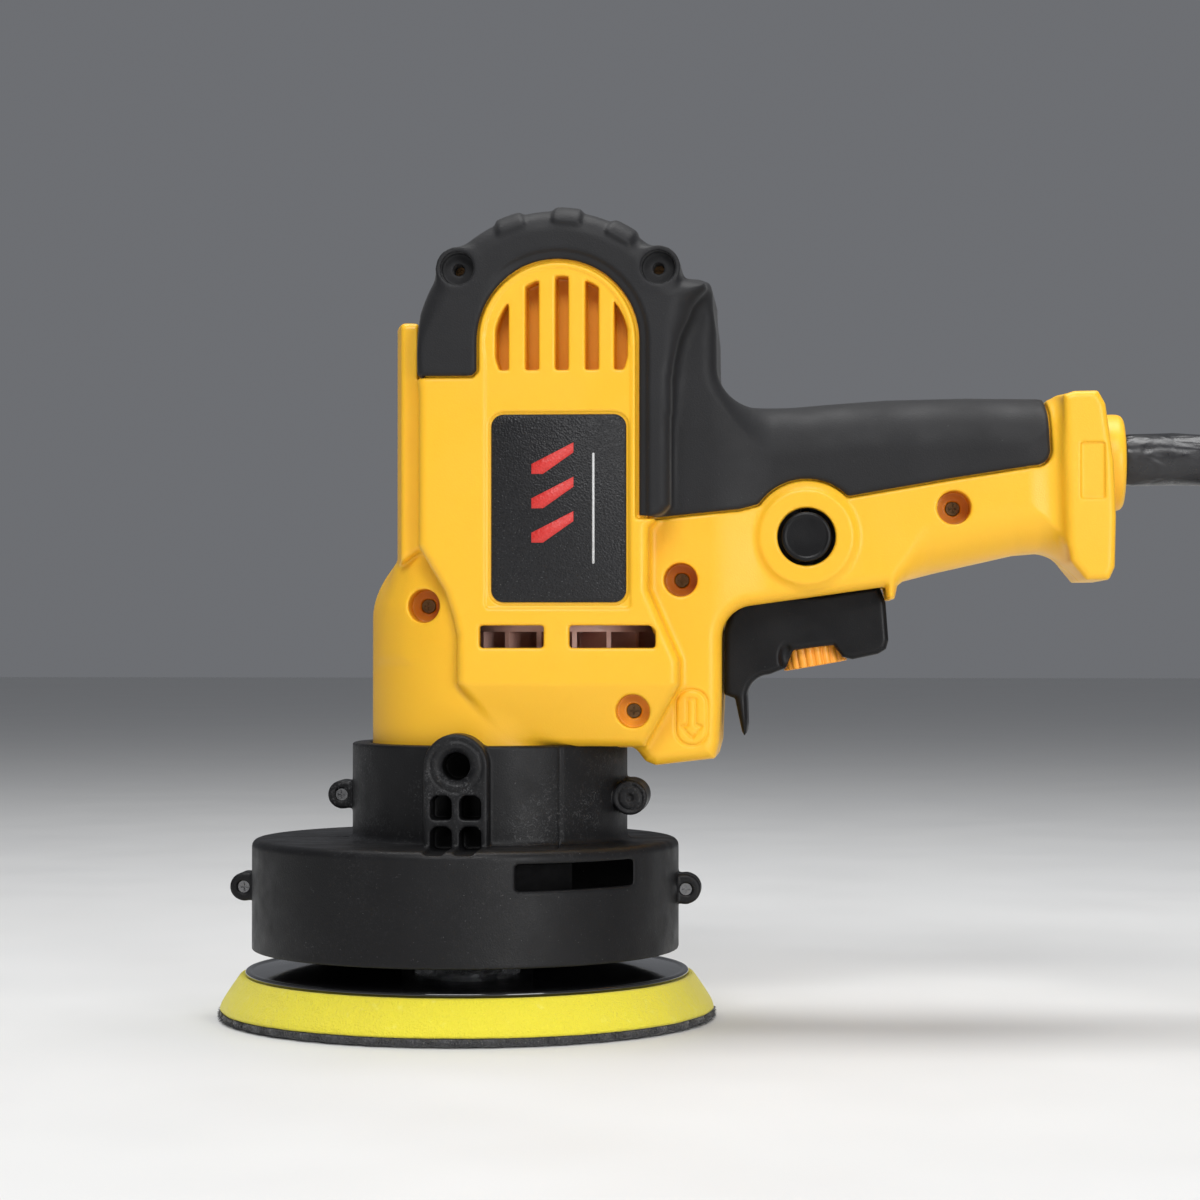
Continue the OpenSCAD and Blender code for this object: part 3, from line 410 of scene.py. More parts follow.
def catmull(points, steps):
    p = [np.array(q, float) for q in points]
    out = []
    for i in range(len(p) - 1):
        a, b, c, d = p[max(i - 1, 0)], p[i], p[i + 1], p[min(i + 2, len(p) - 1)]
        for k in range(steps):
            t = k / steps
            out.append(0.5 * (2 * b + (c - a) * t + (2 * a - 5 * b + 4 * c - d) * t * t
                              + (3 * b - a - 3 * c + d) * t ** 3))
    out.append(p[-1])
    return out


EXIT = (166.2, 0, 139.6)
LEAD_ROUTE = [(209, 0, 139.6), (216, 0, 139.4), (224, -1, 137.8), (233, -2, 134.6), (242, -4, 129.6),
              (251, -6, 122.8), (260, -9, 114), (268, -12, 104), (275, -16, 92.6), (281, -20, 80.6),
              (286, -23.6, 68.6), (290, -26, 57), (293.4, -27, 46), (296, -27, 36),
              (297.8, -25.8, 26.4), (299.2, -22.4, 17.6), (299.9, -16.6, 10.6), (299.8, -9, 6),
              (299, -1, 4), (297, 7, 3.5)]
TAIL_ROUTE = [(246, 56.2, 24.9), (240, 54.7, 26.5), (233, 51, 29.6), (227, 45.7, 32.7),
              (223, 39.3, 35), (220.8, 32.8, 36.2), (220, 26.5, 36.6), (220, 22, 36.6)]
PLUG = (220, -14, 36.6)
COIL = (250, 12)
COIL_OUTER = 44.4
COIL_INNER = 32.6
COIL_LEVELS = (3.5, 10.5, 17.5, 24.5)
CORD_D = 7


def coil_points():
    """Four layers of turns, in towards the middle and out again by turns, a cord's width apart."""
    per_layer = 1.5625
    total = per_layer * len(COIL_LEVELS)
    count = int(total * 26)
    points = []
    for i in range(1, count):
        turn = total * i / count
        layer = min(int(turn / per_layer), len(COIL_LEVELS) - 1)
        t = turn / per_layer - layer
        inward = layer % 2 == 0
        r = COIL_OUTER + (COIL_INNER - COIL_OUTER) * (t if inward else 1 - t)
        z = COIL_LEVELS[layer]
        fall = 0.11
        if t > 1 - fall and layer < len(COIL_LEVELS) - 1:
            s = (t - 1 + fall) / (2 * fall)
            z += (COIL_LEVELS[layer + 1] - z) * s * s * (3 - 2 * s)
        if t < fall and layer > 0:
            s = (t + fall) / (2 * fall)
            z += (COIL_LEVELS[layer - 1] - z) * (1 - s * s * (3 - 2 * s))
        a = 2 * math.pi * turn
        points.append((COIL[0] + r * math.cos(a), COIL[1] + r * math.sin(a), z))
    return points


def make_cord(material):
    start = [(EXIT[0] + 0.3, 0, EXIT[2]), (180, 0, EXIT[2]), (195, 0, EXIT[2])]
    points = start + LEAD_ROUTE + coil_points() + TAIL_ROUTE
    line = catmull(points, 2)
    length = sum(float(np.linalg.norm(b - a)) for a, b in zip(line, line[1:]))
    data = bpy.data.curves.new("cord", "CURVE")
    data.dimensions = "3D"
    data.bevel_depth = CORD_D / 2 * MM
    data.bevel_resolution = 5
    data.use_fill_caps = True
    spline = data.splines.new("POLY")
    spline.points.add(len(line) - 1)
    for q, v in zip(spline.points, line):
        q.co = (*(v * MM), 1)
    spline.use_smooth = True
    data.materials.append(material)
    cord = add_object("cord", data)
    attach(cord, "body")
    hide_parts("cord_lead", "cord_coil")
    return cord, length


# ---- distance fields

def smax(a, b, r):
    h = np.maximum(r - np.abs(a - b), 0) / r
    return np.maximum(a, b) + h * h * (r * 0.25)


def smin(a, b, r):
    return -smax(-a, -b, r)


def ease(t):
    t = np.clip(t, 0, 1)
    return t * t * (3 - 2 * t)


def outline(points, x, z):
    """Signed distance from a closed polygon in X and Z, negative inside."""
    px, pz = np.broadcast_arrays(x, z)
    best = np.full(px.shape, 1e9, np.float32)
    inside = np.zeros(px.shape, bool)
    for (ax, az), (bx, bz) in zip(points, points[1:] + points[:1]):
        ex, ez = bx - ax, bz - az
        wx, wz = px - ax, pz - az
        t = np.clip((wx * ex + wz * ez) / (ex * ex + ez * ez), 0, 1)
        best = np.minimum(best, (wx - ex * t) ** 2 + (wz - ez * t) ** 2)
        if az != bz:
            crosses = (az > pz) != (bz > pz)
            inside ^= crosses & (px < ax + (pz - az) * (ex / ez))
    return np.where(inside, -1, 1).astype(np.float32) * np.sqrt(best)


def arc(cx, cz, r, start, end, steps):
    return [(cx + r * math.cos(math.radians(start + (end - start) * i / steps)),
             cz + r * math.sin(math.radians(start + (end - start) * i / steps)))
            for i in range(steps + 1)]


def prism(flat, across, r):
    """A flat outline thickened across, with its edges rounded by r."""
    u = flat + r
    v = across + r
    return (np.minimum(np.maximum(u, v), 0)
            + np.sqrt(np.maximum(u, 0) ** 2 + np.maximum(v, 0) ** 2) - r)


def rounded_box(x, z, cx, cz, hx, hz, r):
    u = np.abs(x - cx) - hx + r
    v = np.abs(z - cz) - hz + r
    return (np.minimum(np.maximum(u, v), 0)
            + np.sqrt(np.maximum(u, 0) ** 2 + np.maximum(v, 0) ** 2) - r)


class Field:
    """A block of space, in millimetres, that holds a signed distance at every point."""

    def __init__(self, low, high, step=None):
        self.step = step or STEP
        self.low = np.array(low, np.float32)
        self.axes = [np.arange(a, b + self.step, self.step, dtype=np.float32)
                     for a, b in zip(low, high)]
        self.x, self.y, self.z = np.ix_(*self.axes)

    def window(self, low, high):
        cut = tuple(slice(int(np.searchsorted(ax, a)), int(np.searchsorted(ax, b)) + 1)
                    for ax, a, b in zip(self.axes, low, high))
        return cut, (self.x[cut[0]], self.y[:, cut[1]], self.z[:, :, cut[2]])

    def carve(self, d, low, high, shape, r=0.6):
        cut, (x, y, z) = self.window(low, high)
        d[cut] = smax(d[cut], -shape(x, y, z), r)

    def grow(self, d, low, high, shape, r=0.6):
        cut, (x, y, z) = self.window(low, high)
        d[cut] = smin(d[cut], shape(x, y, z), r)


def around(px, pz, reach, y0, y1):
    """Corners of a box round a spot of the side view, from y0 to y1."""
    return (px - reach, y0, pz - reach), (px + reach, y1, pz + reach)


def sample(d, p):
    """The field's value at points given in grid steps."""
    top = np.array(d.shape) - 1.001
    p = np.clip(p, 0, top)
    i = p.astype(np.int32)
    f = (p - i).astype(np.float32)
    out = 0
    for a in (0, 1):
        for b in (0, 1):
            for c in (0, 1):
                w = ((f[:, 0] if a else 1 - f[:, 0]) * (f[:, 1] if b else 1 - f[:, 1])
                     * (f[:, 2] if c else 1 - f[:, 2]))
                out = out + w * d[i[:, 0] + a, i[:, 1] + b, i[:, 2] + c]
    return out


def mesh_from(name, points, faces, normals=None, sink=None):
    """A smooth mesh object from points in millimetres and lists of faces."""
    mesh = bpy.data.meshes.new(name)
    mesh.vertices.add(len(points))
    mesh.vertices.foreach_set("co", (np.asarray(points, np.float32) * MM).ravel())
    loops = np.concatenate([f.ravel() for f in faces])
    sizes = np.concatenate([np.full(len(f), f.shape[1]) for f in faces])
    mesh.loops.add(len(loops))
    mesh.loops.foreach_set("vertex_index", loops.astype(np.int32))
    mesh.polygons.add(len(sizes))
    starts = np.concatenate([[0], np.cumsum(sizes)[:-1]])
    mesh.polygons.foreach_set("loop_start", starts.astype(np.int32))
    mesh.update(calc_edges=True)
    mesh.validate()
    mesh.polygons.foreach_set("use_smooth", np.ones(len(mesh.polygons), bool))
    if normals is not None:
        mesh.normals_split_custom_set_from_vertices(normals)
    if sink is not None:
        mesh.attributes.new("sink", "FLOAT", "POINT").data.foreach_set("value", sink)
    mesh.update()
    return add_object(name, mesh)


def skin(name, field, d, flip_y=False, whole=None):
    """The surface of a field as a mesh, with normals taken from the field.

    Where the whole form is given, every point also keeps its depth below it.
    """
    edge = 2.5 * field.step
    grid = openvdb.FloatGrid(edge)
    grid.copyFromArray(np.ascontiguousarray(np.clip(d, -edge, edge), np.float32))
    p, tris, quads = grid.convertToPolygons(isovalue=0.0)
    g = np.stack([sample(d, p + step) - sample(d, p - step)
                  for step in np.eye(3, dtype=np.float32) * 0.75], 1)
    n = g / np.maximum(np.linalg.norm(g, axis=1, keepdims=True), 1e-9)
    sink = None if whole is None else -sample(whole, p).astype(np.float32)
    points = field.low + p * field.step
    faces = [f for f in (tris, quads) if len(f)]
    probe = faces[-1]
    face_n = np.cross(points[probe[:, 1]] - points[probe[:, 0]],
                      points[probe[:, 2]] - points[probe[:, 0]])
    inwards = (face_n * n[probe[:, 0]]).sum() < 0
    if flip_y:
        points = points * np.array([1, -1, 1], np.float32)
        n = n * np.array([1, -1, 1], np.float32)
        inwards = not inwards
    if inwards:
        faces = [f[:, ::-1] for f in faces]
    return mesh_from(name, points, faces, n, sink)


def join(name, objects):
    """One object out of several."""
    keep = objects[0]
    bpy.ops.object.select_all(action="DESELECT")
    for obj in objects:
        obj.select_set(True)
    bpy.context.view_layer.objects.active = keep
    bpy.ops.object.join()
    keep.select_set(False)
    keep.name = name
    keep.data.name = name
    return keep


def dress(obj, body, slot, material, *nodes):
    obj.data.materials.clear()
    obj.data.materials.append(material)
    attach(obj, body)
    if nodes:
        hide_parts(*nodes)
    return obj


# ---- the housing's form

MOTOR_X, DOME_Z, DOME_R = 25, 164.7, 34
NECK_X = 6.15
WALL = 3.2
SLOTS, SLOT_HALF = (12.2, 19.5, 26.7, 34, 41), 1.6
WINDOWS = ((6.9, 22.4), (28.6, 49.4))
ARCH = (25.6, 167.2, 19.5)
SCREWS = ((-7.5, 103.2), (55, 109.6), (43.8, 77.7), (121.6, 127.2))
SCREW_SEATS = (16, 12, 24, 10)
BOSSES = ((1.3, 184.9), (50, 184.9))
BOSS_SEAT = 22
HEAD_R, HEAD_SINK = 1.75, 1.8
BUTTON = (85.7, 120.1)
DIAL, DIAL_TILT = (87.6, 90.4), math.radians(10)


def housing_form(f):
    """Outer form of the whole housing, grip included; the same on both sides of y = 0."""
    x, z = f.x, f.z
    side = np.abs(f.y)
    # motor head: a dome over straight sides, which flare out over the fan
    dome = np.hypot(x - MOTOR_X, z - DOME_Z) - DOME_R
    dome = smax(dome, x - 52.4 - 0.0225 * np.maximum(z - 160, 0) ** 2, 3)
    dome = smax(dome, 150 - z, 1)
    corner = outline([(40, 160), (52.4, 160), (54.3, 169), (57.3, 175.7), (61.2, 179.9), (61, 181),
                      (56, 181.8), (46, 184)], x, z)
    sides = outline([(-8.2, 166), (-8.2, 117.6), (-4.5, 111.3), (-1.8, 106.5), (0.3, 100.1),
                     (1.2, 95.9), (1.3, 84.2), (13, 69), (46.5, 69), (55, 84), (55, 90),
                     (47.6, 107), (47.6, 122), (52.4, 127.5), (52.4, 166)], x, z)
    flat = smin(smin(dome, corner, 2), sides, 1)
    half = smin(32 + 0.8 * ease((108 - z) / 20), 32.8 - 0.42 * (84.2 - z), 0.25)
    d = prism(flat, side - half, 2.2 + 3.0 * ease((z - 164) / 12))
    # round neck over the gears, with a cone up to the head
    r = np.hypot(x - NECK_X, side)
    neck = smax(r - 29.5 + 0.03 * np.maximum(z - 100, 0) ** 2, np.maximum(62.5 - z, z - 122), 1)
    d = smin(d, neck, 1.6)
    # front spine
    spine = outline([(-16.8, 111.4), (-16.8, 172.4), (2, 172.4), (2, 116.4), (-8.6, 116.4)], x, z)
    spine = smax(prism(spine, side - 25.5, 1.6), 3.6 * (side / 25.5) ** 2 - 16.6 - x, 1)
    d = smin(d, spine, 1.4)
    # face of the front screw's pillar, under the spine
    leaf = outline([(-8.3, 118.2), (-16.7, 113.4), (-20.4, 105), (-22.2, 97), (-22.4, 88),
                    (10, 88), (10, 112), (-4, 116)], x, z)
    leaf = smax(prism(leaf, side - 25.8, 1.2), r - 29.6 + 0.12 * np.maximum(z - 103, 0), 4)
    d = smin(d, leaf, 1)
    # rear block, foot and handle in one outline
    back = [(40, 182), (59.4, 182), (61.2, 181), (62.4, 177), (63.3, 170), (63.4, 162.5)]
    back += arc(73.6, 162, 10.2, 183, 262, 9)
    back += [(82, 152.1), (92, 152.9), (105, 153.8), (125, 154.2), (145, 153.9), (152, 154),
             (152, 116), (143, 116.4), (137, 115.9), (130, 114.3), (118, 111.6), (109.6, 109.5),
             (107.9, 108.2), (107.2, 104.9), (105.4, 104.7), (104.9, 107.9), (72.5, 103.4)]
    back += arc(72.9, 95.4, 8, 100, 178, 8)
    back += [(64.9, 81), (64.4, 69.7), (63.4, 65.9), (48.8, 64.2), (46.3, 65.2), (43.4, 69),
             (40, 69)]
    rear = outline(back, x, z)
    width = 21.2 - 2.8 * ease((x - 62) / 16)
    soft = ease((x - 64) / 14) * np.maximum(ease((z - 118) / 14), ease((x - 106) / 10))
    d = smin(d, prism(rear, side - width, 3.4 - 1.4 * ease((z - 168) / 6) + 9.4 * soft),
             1.8 + 2.2 * ease((z - 140) / 20))
    # end cap and gland
    cap = outline([(147.8, 154.4), (150.4, 155.3), (156.2, 155.4), (158, 152.2), (160, 138),
                   (160.5, 125), (160.2, 112.6), (158.8, 109.5), (153.2, 109.4), (149.6, 113.8),
                   (148.8, 118)], x, z)
    d = smin(d, prism(cap, side - 21.6, 1.8), 7 - 2.5 * ease((z - 140) / 12))
    ring = np.hypot(side, z - 138.9) - 12
    d = smin(d, smax(ring, np.maximum(150 - x, x - 164.2), 2.2), 0.6)
    # screw bosses on the grip
    for bx, bz in BOSSES:
        boss = smax(np.hypot(x - bx, z - bz) - 4.8, side - 30.6, 1.6)
        d = smin(d, boss, 2.2)
    return d


def screw_well(x, y, z, px, pz, seat, floor=None, bore=HEAD_R):
    """Stepped bore of a screw: a wide recess, and a narrow one that the head sits in."""
    r = np.hypot(x - px, z - pz)
    wide = np.maximum(r - 4.1, y + (floor or seat))
    narrow = np.maximum(r - bore, y + seat - HEAD_SINK)
    return np.minimum(wide, narrow)


def grip_outline():
    """Side outline of the rubber: over the head, down its back and along the handle."""
    ax, az, ar = ARCH
    points = [(-8.6, 158.8), (ax - ar - 1.2, 158.8), (ax - ar, 160)] + arc(ax, az, ar, 180, 0, 30)
    points += [(ax + ar, 124.6), (47.5, 124.6), (69.3, 126.8), (73.7, 128.0)]
    points += arc(BUTTON[0], BUTTON[1] + 0.1, 14.1, 146, 44, 14)
    points += [(121, 134.3), (141, 137.4)] + arc(141.4, 141, 3.6, -80, 0, 5)
    points += [(144.6, 150), (144, 154), (143.6, 170), (72, 172), (70, 230), (-14, 230), (-14, 174),
               (-8.6, 173)]
    return points


def build_housing(yellow, rubber):
    f = Field((-26, -38.5, 61), (168, 0.6, 205))
    x, y, z = f.x, f.y, f.z
    form = housing_form(f)
    grip = outline(grip_outline(), x, z)
    ax, az, ar = ARCH
    # wall, thicker behind the slots, with pillars round the screws
    cavity = form + WALL
    cavity = np.maximum(cavity, -np.maximum(rounded_box(x, z, 27, 170, 19, 14, 2), y + 22.5))
    for px, pz in SCREWS + BOSSES:
        cavity = np.maximum(cavity, 5.9 - np.hypot(x - px, z - pz))
    shell = np.maximum(form, -cavity)
    # seat of the rubber, and of its solid bosses
    shell = smax(shell, -np.maximum(grip - 0.45, -form - 1.9), 0.7)
    for px, pz in BOSSES:
        f.carve(shell, *around(px, pz, 7, -40, -18), lambda x, y, z:
                np.maximum(np.hypot(x - px, z - pz) - 5.5, y + 20), 0.3)
    shell = smax(shell, y + 0.06, 0.5)
    # recessed panel round the slots and the label
    panel = smin(np.hypot(x - ax, z - az) - 17.6, rounded_box(x, z, 25.8, 134.5, 17.6, 32, 1), 0.5)
    shell = smax(shell, -np.maximum(panel, -form - 0.5), 0.45)
    f.carve(shell, (6, -40, 100), (46, -28, 153),
            lambda x, y, z: np.maximum(rounded_box(x, z, 26, 126.7, 16.9, 23.3, 3.4), y + 30.9), 0.4)
    # cooling slots, and the windows over the fan
    for c in SLOTS:
        f.carve(shell, (c - 4, -40, 155), (c + 4, -18, 188), lambda x, y, z: np.maximum(
            np.maximum(np.abs(x - c) - SLOT_HALF, 160.2 - z),
            np.maximum(np.hypot(x - 26.6, z - 166.6) - 16.3, y + 24.8)), 0.5)
    for a, b in WINDOWS:
        corner = 1.3 if b > 40 else 0
        f.carve(shell, (a - 3, -40, 90), (b + 3, -24, 101),
                lambda x, y, z: np.maximum(np.maximum(
                    rounded_box(x, z, (a + b) / 2, 95.7, (b - a) / 2, 2.7, 0.5),
                    (x + z - b - 98.4 + corner) * 0.7 if corner else x * 0 - 9), y + 26), 0.7)
    # engraved oval with an arrow on the foot
    arrow = [(56.7, 80.6), (58.7, 80.6), (58.7, 74), (60.2, 74), (57.7, 70.9), (55.2, 74),
             (56.7, 74)]
    f.carve(shell, (52, -40, 67), (64, -18, 85), lambda x, y, z: np.maximum(np.minimum(
        np.abs(rounded_box(x, z, 57.7, 76, 3.9, 6.8, 3.7)) - 0.3,
        np.abs(outline(arrow, x, z)) - 0.28), y + 20.5), 0.2)
    # plain sunk panel in the end cap
    f.carve(shell, (149, -40, 126), (161, -18, 146), lambda x, y, z: np.maximum(
        rounded_box(x, z, 154.9, 136, 2.9, 6.9, 0.4), y + 20.8), 0.25)
    # opening for the trigger, with room for its travel
    hole = outline([(64.95, 60), (64.95, 102.5), (66, 107.2), (68.8, 110.4), (71.8, 111.8),
                    (76, 112.3), (104.4, 114.6), (106.5, 113.6), (106.5, 60)], x, z)
    shell = smax(shell, -smax(hole, -y - 11.0, 0.5), 0.6)
    # the cord's way out
    shell = np.maximum(shell, -np.maximum(np.hypot(y, z - EXIT[2]) - 5.3, 140 - x))
    # the neck is open below, over the gears and the shafts
    f.carve(shell, (-25, -28, 60), (35, 1, 69), lambda x, y, z: np.maximum(np.minimum(
        np.hypot(x - NECK_X, y) - 25.5, np.hypot(x, y) - 21.6), z - 67), 0.3)
    right = shell.copy()
    # left side only: screw recesses, and the raised ring round the lock button
    f.grow(shell, (69, -24, 103), (103, -14, 138), lambda x, y, z: smax(
        np.hypot(x - BUTTON[0], z - BUTTON[1]) - 12.9 + np.clip(-y - 18.4, 0, 1.5),
        np.maximum(-y - 19.9, y + 15), 0.5), 1.0)
    f.carve(shell, (76, -30, 110), (96, -12, 130), lambda x, y, z: np.maximum(
        np.hypot(x - BUTTON[0], z - BUTTON[1]) - 7.1, y + 12), 0.5)
    for (px, pz), seat in zip(SCREWS, SCREW_SEATS):
        f.carve(shell, *around(px, pz, 7, -40, -4),
                lambda x, y, z: screw_well(x, y, z, px, pz, seat), 0.5)
    dress(skin("left_shell", f, shell, whole=form), "body", "housing_plastic", yellow,
          "left_housing")
    dress(skin("right_shell", f, right, True, form), "body", "housing_plastic", yellow,
          "right_housing")

    # the rubber, a little proud of the shell, with a bevel round the arch
    inner = np.where(z > az, np.hypot(x - ax, z - az) - ar, x - ax - ar)
    bevel = ease((2.9 - inner) / 0.9) * ease((x - 6) / 12) * (0.9 + 0.35 * (2.9 - inner) / 2.9)
    skin_out = form - 0.45 + np.where(inner > -0.5, np.clip(bevel, 0, 1.3), 0)
    # raised thumb pads over the top of the head
    rx = x - MOTOR_X
    rz = z - DOME_Z
    for tilt in (-19.4, 5.2, 29.4):
        s, c = math.sin(math.radians(tilt)), math.cos(math.radians(tilt))
        along = rx * c - rz * s
        out = rx * s + rz * c
        pad = smax(smax(form - 1.4, np.abs(along) - 3.5, 1.1), 30.9 - out, 1.1)
        skin_out = smin(skin_out, pad, 0.9)
    body = smax(skin_out, -form - 1.7, 0.3)
    for px, pz in BOSSES:
        f.grow(body, *around(px, pz, 7, -40, -18), lambda x, y, z:
               np.maximum(np.hypot(x - px, z - pz) - 5.3, np.maximum(y + 20.2, -y - 31)), 0.3)
    body = smax(body, grip + 0.05, 1.1)
    body = smax(body, y + 0.05, 0.5)
    right = body.copy()
    for px, pz in BOSSES:
        f.carve(body, *around(px, pz, 7, -40, -18), lambda x, y, z:
                screw_well(x, y, z, px, pz, BOSS_SEAT, 27.6, 1.4), 0.6)
    dress(skin("left_rubber", f, body), "body", "grip_rubber", rubber, "left_grip")
    dress(skin("right_rubber", f, right, True), "body", "grip_rubber", rubber, "right_grip")


# ---- collar and shroud

SOCKET = (1.8, 64.6)
LUGS = ((-31, 56, 3.5, 0), (42.2, 56, 4.3, 1), (-55.9, 32.7, 3.5, 0), (55.6, 32.7, 3.7, 0))


def build_shroud(material):
    f = Field((-61, -55, 16.5), (61, 0.6, 74), 0.48)
    x, y, z = f.x, f.y, f.z
    side = np.abs(y)
    r = np.hypot(x, y)
    rc = np.hypot(x - NECK_X, y)
    skirt = prism(np.maximum(r - 53.6, 17.6 - z), z - 45.2, 1.9)
    d = smax(skirt, -np.maximum(r - 51.1, z - 42.4), 0.5)
    collar = smax(rc - 34.55, np.maximum(z - 69.3, 43 - z), 0.6)
    d = smin(d, collar, 1.6)
    # boss with the side-handle socket and four small windows under it
    socket = np.hypot(x - SOCKET[0], z - SOCKET[1])
    boss = smin(socket - 7.8, np.maximum(np.abs(x - SOCKET[0]) - 7.8, z - SOCKET[1]), 0.1)
    boss = smax(boss, 43.5 - z, 0.5)
    f_boss = prism(boss, side - 38.3, 0.8)
    d = smin(d, np.maximum(f_boss, 25 - side), 0.7)
    for lx, lz, lr, face in LUGS:
        wall = 34 * (1 if lx > 0 else -1) + 6 if abs(lx) < 50 else 53 * (1 if lx > 0 else -1)
        tab = smin(np.hypot(x - lx, z - lz) - lr,
                   rounded_box(x, z, (lx + wall) / 2, lz, abs(lx - wall) / 2 + 0.6, lr * 0.96, 0.3),
                   0.6)
        d = smin(d, prism(tab, side - 4.4, 0.7), 0.9)
    whole = d.copy()
    lx, lz, lr = LUGS[1][:3]
    whole = np.where(y < 0, smin(whole, np.maximum(np.hypot(x - lx, z - lz) - lr, -14.7 - y), 0.5),
                     whole)
    d = smax(d, -np.maximum(rc - 29.9, 43 - z), 0.5)
    # one thin mould line down the collar
    f.carve(d, (24, -40, 44), (28, -26, 70), lambda x, y, z: np.maximum(
        np.abs(x - 26) - 0.2, -rc_at(x, y) + 34.3), 0.3)
    # the spindle's way through
    f.carve(d, (-9, -9, 39), (9, 1, 47), lambda x, y, z: np.hypot(x, y) - 7 + 0 * z, 0.3)
    d = smax(d, y + 0.05, 0.4)
    other = d.copy()

    def bore(x, y, z):
        r = np.hypot(x - SOCKET[0], z - SOCKET[1])
        return np.minimum(np.maximum(r - 3.35, y + 30.6),
                          np.maximum(r - 3.4 - 1.1 * ease((-y - 37.2) / 1.2), y + 37))

    for target in (d, other):
        f.carve(target, (-8, -60, 55), (12, -24, 74), bore, 0.4)
        f.carve(target, (-8, -60, 55), (12, -37, 74), lambda x, y, z: np.maximum(
            np.abs(np.hypot(x - SOCKET[0], z - SOCKET[1]) - 6.2) - 0.25, y + 37.9), 0.3)
        for wx in (-1.75, 5.3):
            for wz in (47.2, 54.7):
                f.carve(target, *around(wx, wz, 5, -60, -27),
                        lambda x, y, z: np.maximum(smax(
                            rounded_box(x, z, wx, wz, 2.55, 2.9, 1.0),
                            (np.abs(x - wx) + z - wz - 4.3) * 0.7, 0.3), y + 30.8), 0.4)
    # the right-hand lug's front is a long round boss
    f.grow(d, *around(lx, lz, 6, -17, 0), lambda x, y, z: np.maximum(
        prism(np.hypot(x - lx, z - lz) - lr, -14.6 - y, 0.6), y + 1), 0.4)
    # sight slot and screw holes, on the left half
    f.carve(d, (12, -60, 30), (49, -24, 46), lambda x, y, z: rounded_box(
        x, z, 30.5, 38.95, 13.3, 3.2, 0.9) + 0 * y, 0.5)
    for lx, lz, lr, face in LUGS:
        if not face:
            f.carve(d, *around(lx, lz, 4, -8, -2.4),
                    lambda x, y, z: np.hypot(x - lx, z - lz) - 1.5, 0.3)
        else:
            f.carve(d, *around(lx, lz, 6, -17, -12),
                    lambda x, y, z: np.maximum(np.minimum(
                        np.abs(np.hypot(x - lx, z - lz) - 3.0) - 0.2,
                        np.hypot(x - lx, z - lz) - 0.8), y + 14.1), 0.3)
    dress(skin("left_skirt", f, d, whole=whole), "body", "shroud_plastic", material, "left_shroud")
    dress(skin("right_skirt", f, other, True, whole), "body", "shroud_plastic", material,
          "right_shroud")


def rc_at(x, y):
    return np.hypot(x - NECK_X, y)


# ---- trigger, dial and button

def build_trigger(material):
    f = Field((62, -12.5, 69), (108, 12.5, 113), 0.32)
    x, y, z = f.x, f.y, f.z
    side = np.abs(y)
    shape = [(65.25, 81.4), (65.25, 97), (66.6, 101.4), (69.2, 104.4), (72, 105.8), (76, 106.2),
             (89.5, 106.2), (103.6, 108.4), (105.2, 104.1), (105.9, 94.8), (105.3, 92.6),
             (103.4, 91.4), (97, 90.0), (94.6, 90.6), (92.3, 93.6), (82.4, 92.3), (80.6, 87.9)]
    shape += arc(76.8, 80.4, 5.9, 92, 172, 7)
    shape += [(71.2, 74), (70.9, 71.8), (70.3, 71.1), (69.7, 72.2), (68.0, 80.4)]
    flat = outline(shape, x, z)
    d = prism(flat, side - 10.1 + 1.2 * ease((76 - z) / 5), 1.5)
    # a finger scoop beside the dial's notch, and the slot the dial turns in
    scoop = np.sqrt(((x - 80.7) / 1.9) ** 2 + ((z - 90.6) / 3.4) ** 2 + ((side - 10.8) / 2.4) ** 2)
    d = smax(d, 1.9 - 1.9 * scoop, 0.7)
    lean, rise = math.sin(DIAL_TILT), math.cos(DIAL_TILT)
    u = (x - DIAL[0]) * rise + (z - DIAL[1]) * lean
    w = -(x - DIAL[0]) * lean + (z - DIAL[1]) * rise
    d = smax(d, -np.maximum(np.hypot(u, y) - 8.6, np.abs(w) - 3.3), 0.3)
    dress(skin("trigger_lever", f, d), "trigger", "trigger_plastic", material, "trigger")


def lathe(name, profile, place, steps=128, shape=None, axis=(0, 0, 1)):
    """Turns a profile of radius and height round an axis; shape may change a radius by angle."""
    rings = []
    for r, h in profile:
        a = np.arange(steps) * 2 * math.pi / steps
        rr = np.array([shape(r, h, t) for t in a]) if shape else np.full(steps, r)
        rings.append(np.stack([rr * np.cos(a), rr * np.sin(a), np.full(steps, h)], 1))
    points = np.concatenate(rings)
    k = np.arange(steps)
    k2 = (k + 1) % steps
    faces = [np.stack([i * steps + k, i * steps + k2, (i + 1) * steps + k2, (i + 1) * steps + k], 1)
             for i in range(len(profile) - 1)]
    turn = np.array(Vector((0, 0, 1)).rotation_difference(Vector(axis)).to_matrix())
    points = points @ turn.T + np.array(place)
    return mesh_from(name, points, [np.concatenate(faces)])


def sharpen(obj, angle=35):
    """Smooth shading that keeps the edges sharper than the angle."""
    bpy.context.view_layer.objects.active = obj
    obj.select_set(True)
    bpy.ops.object.shade_auto_smooth(angle=math.radians(angle))
    bpy.ops.object.convert(target="MESH")
    obj.select_set(False)
    return obj


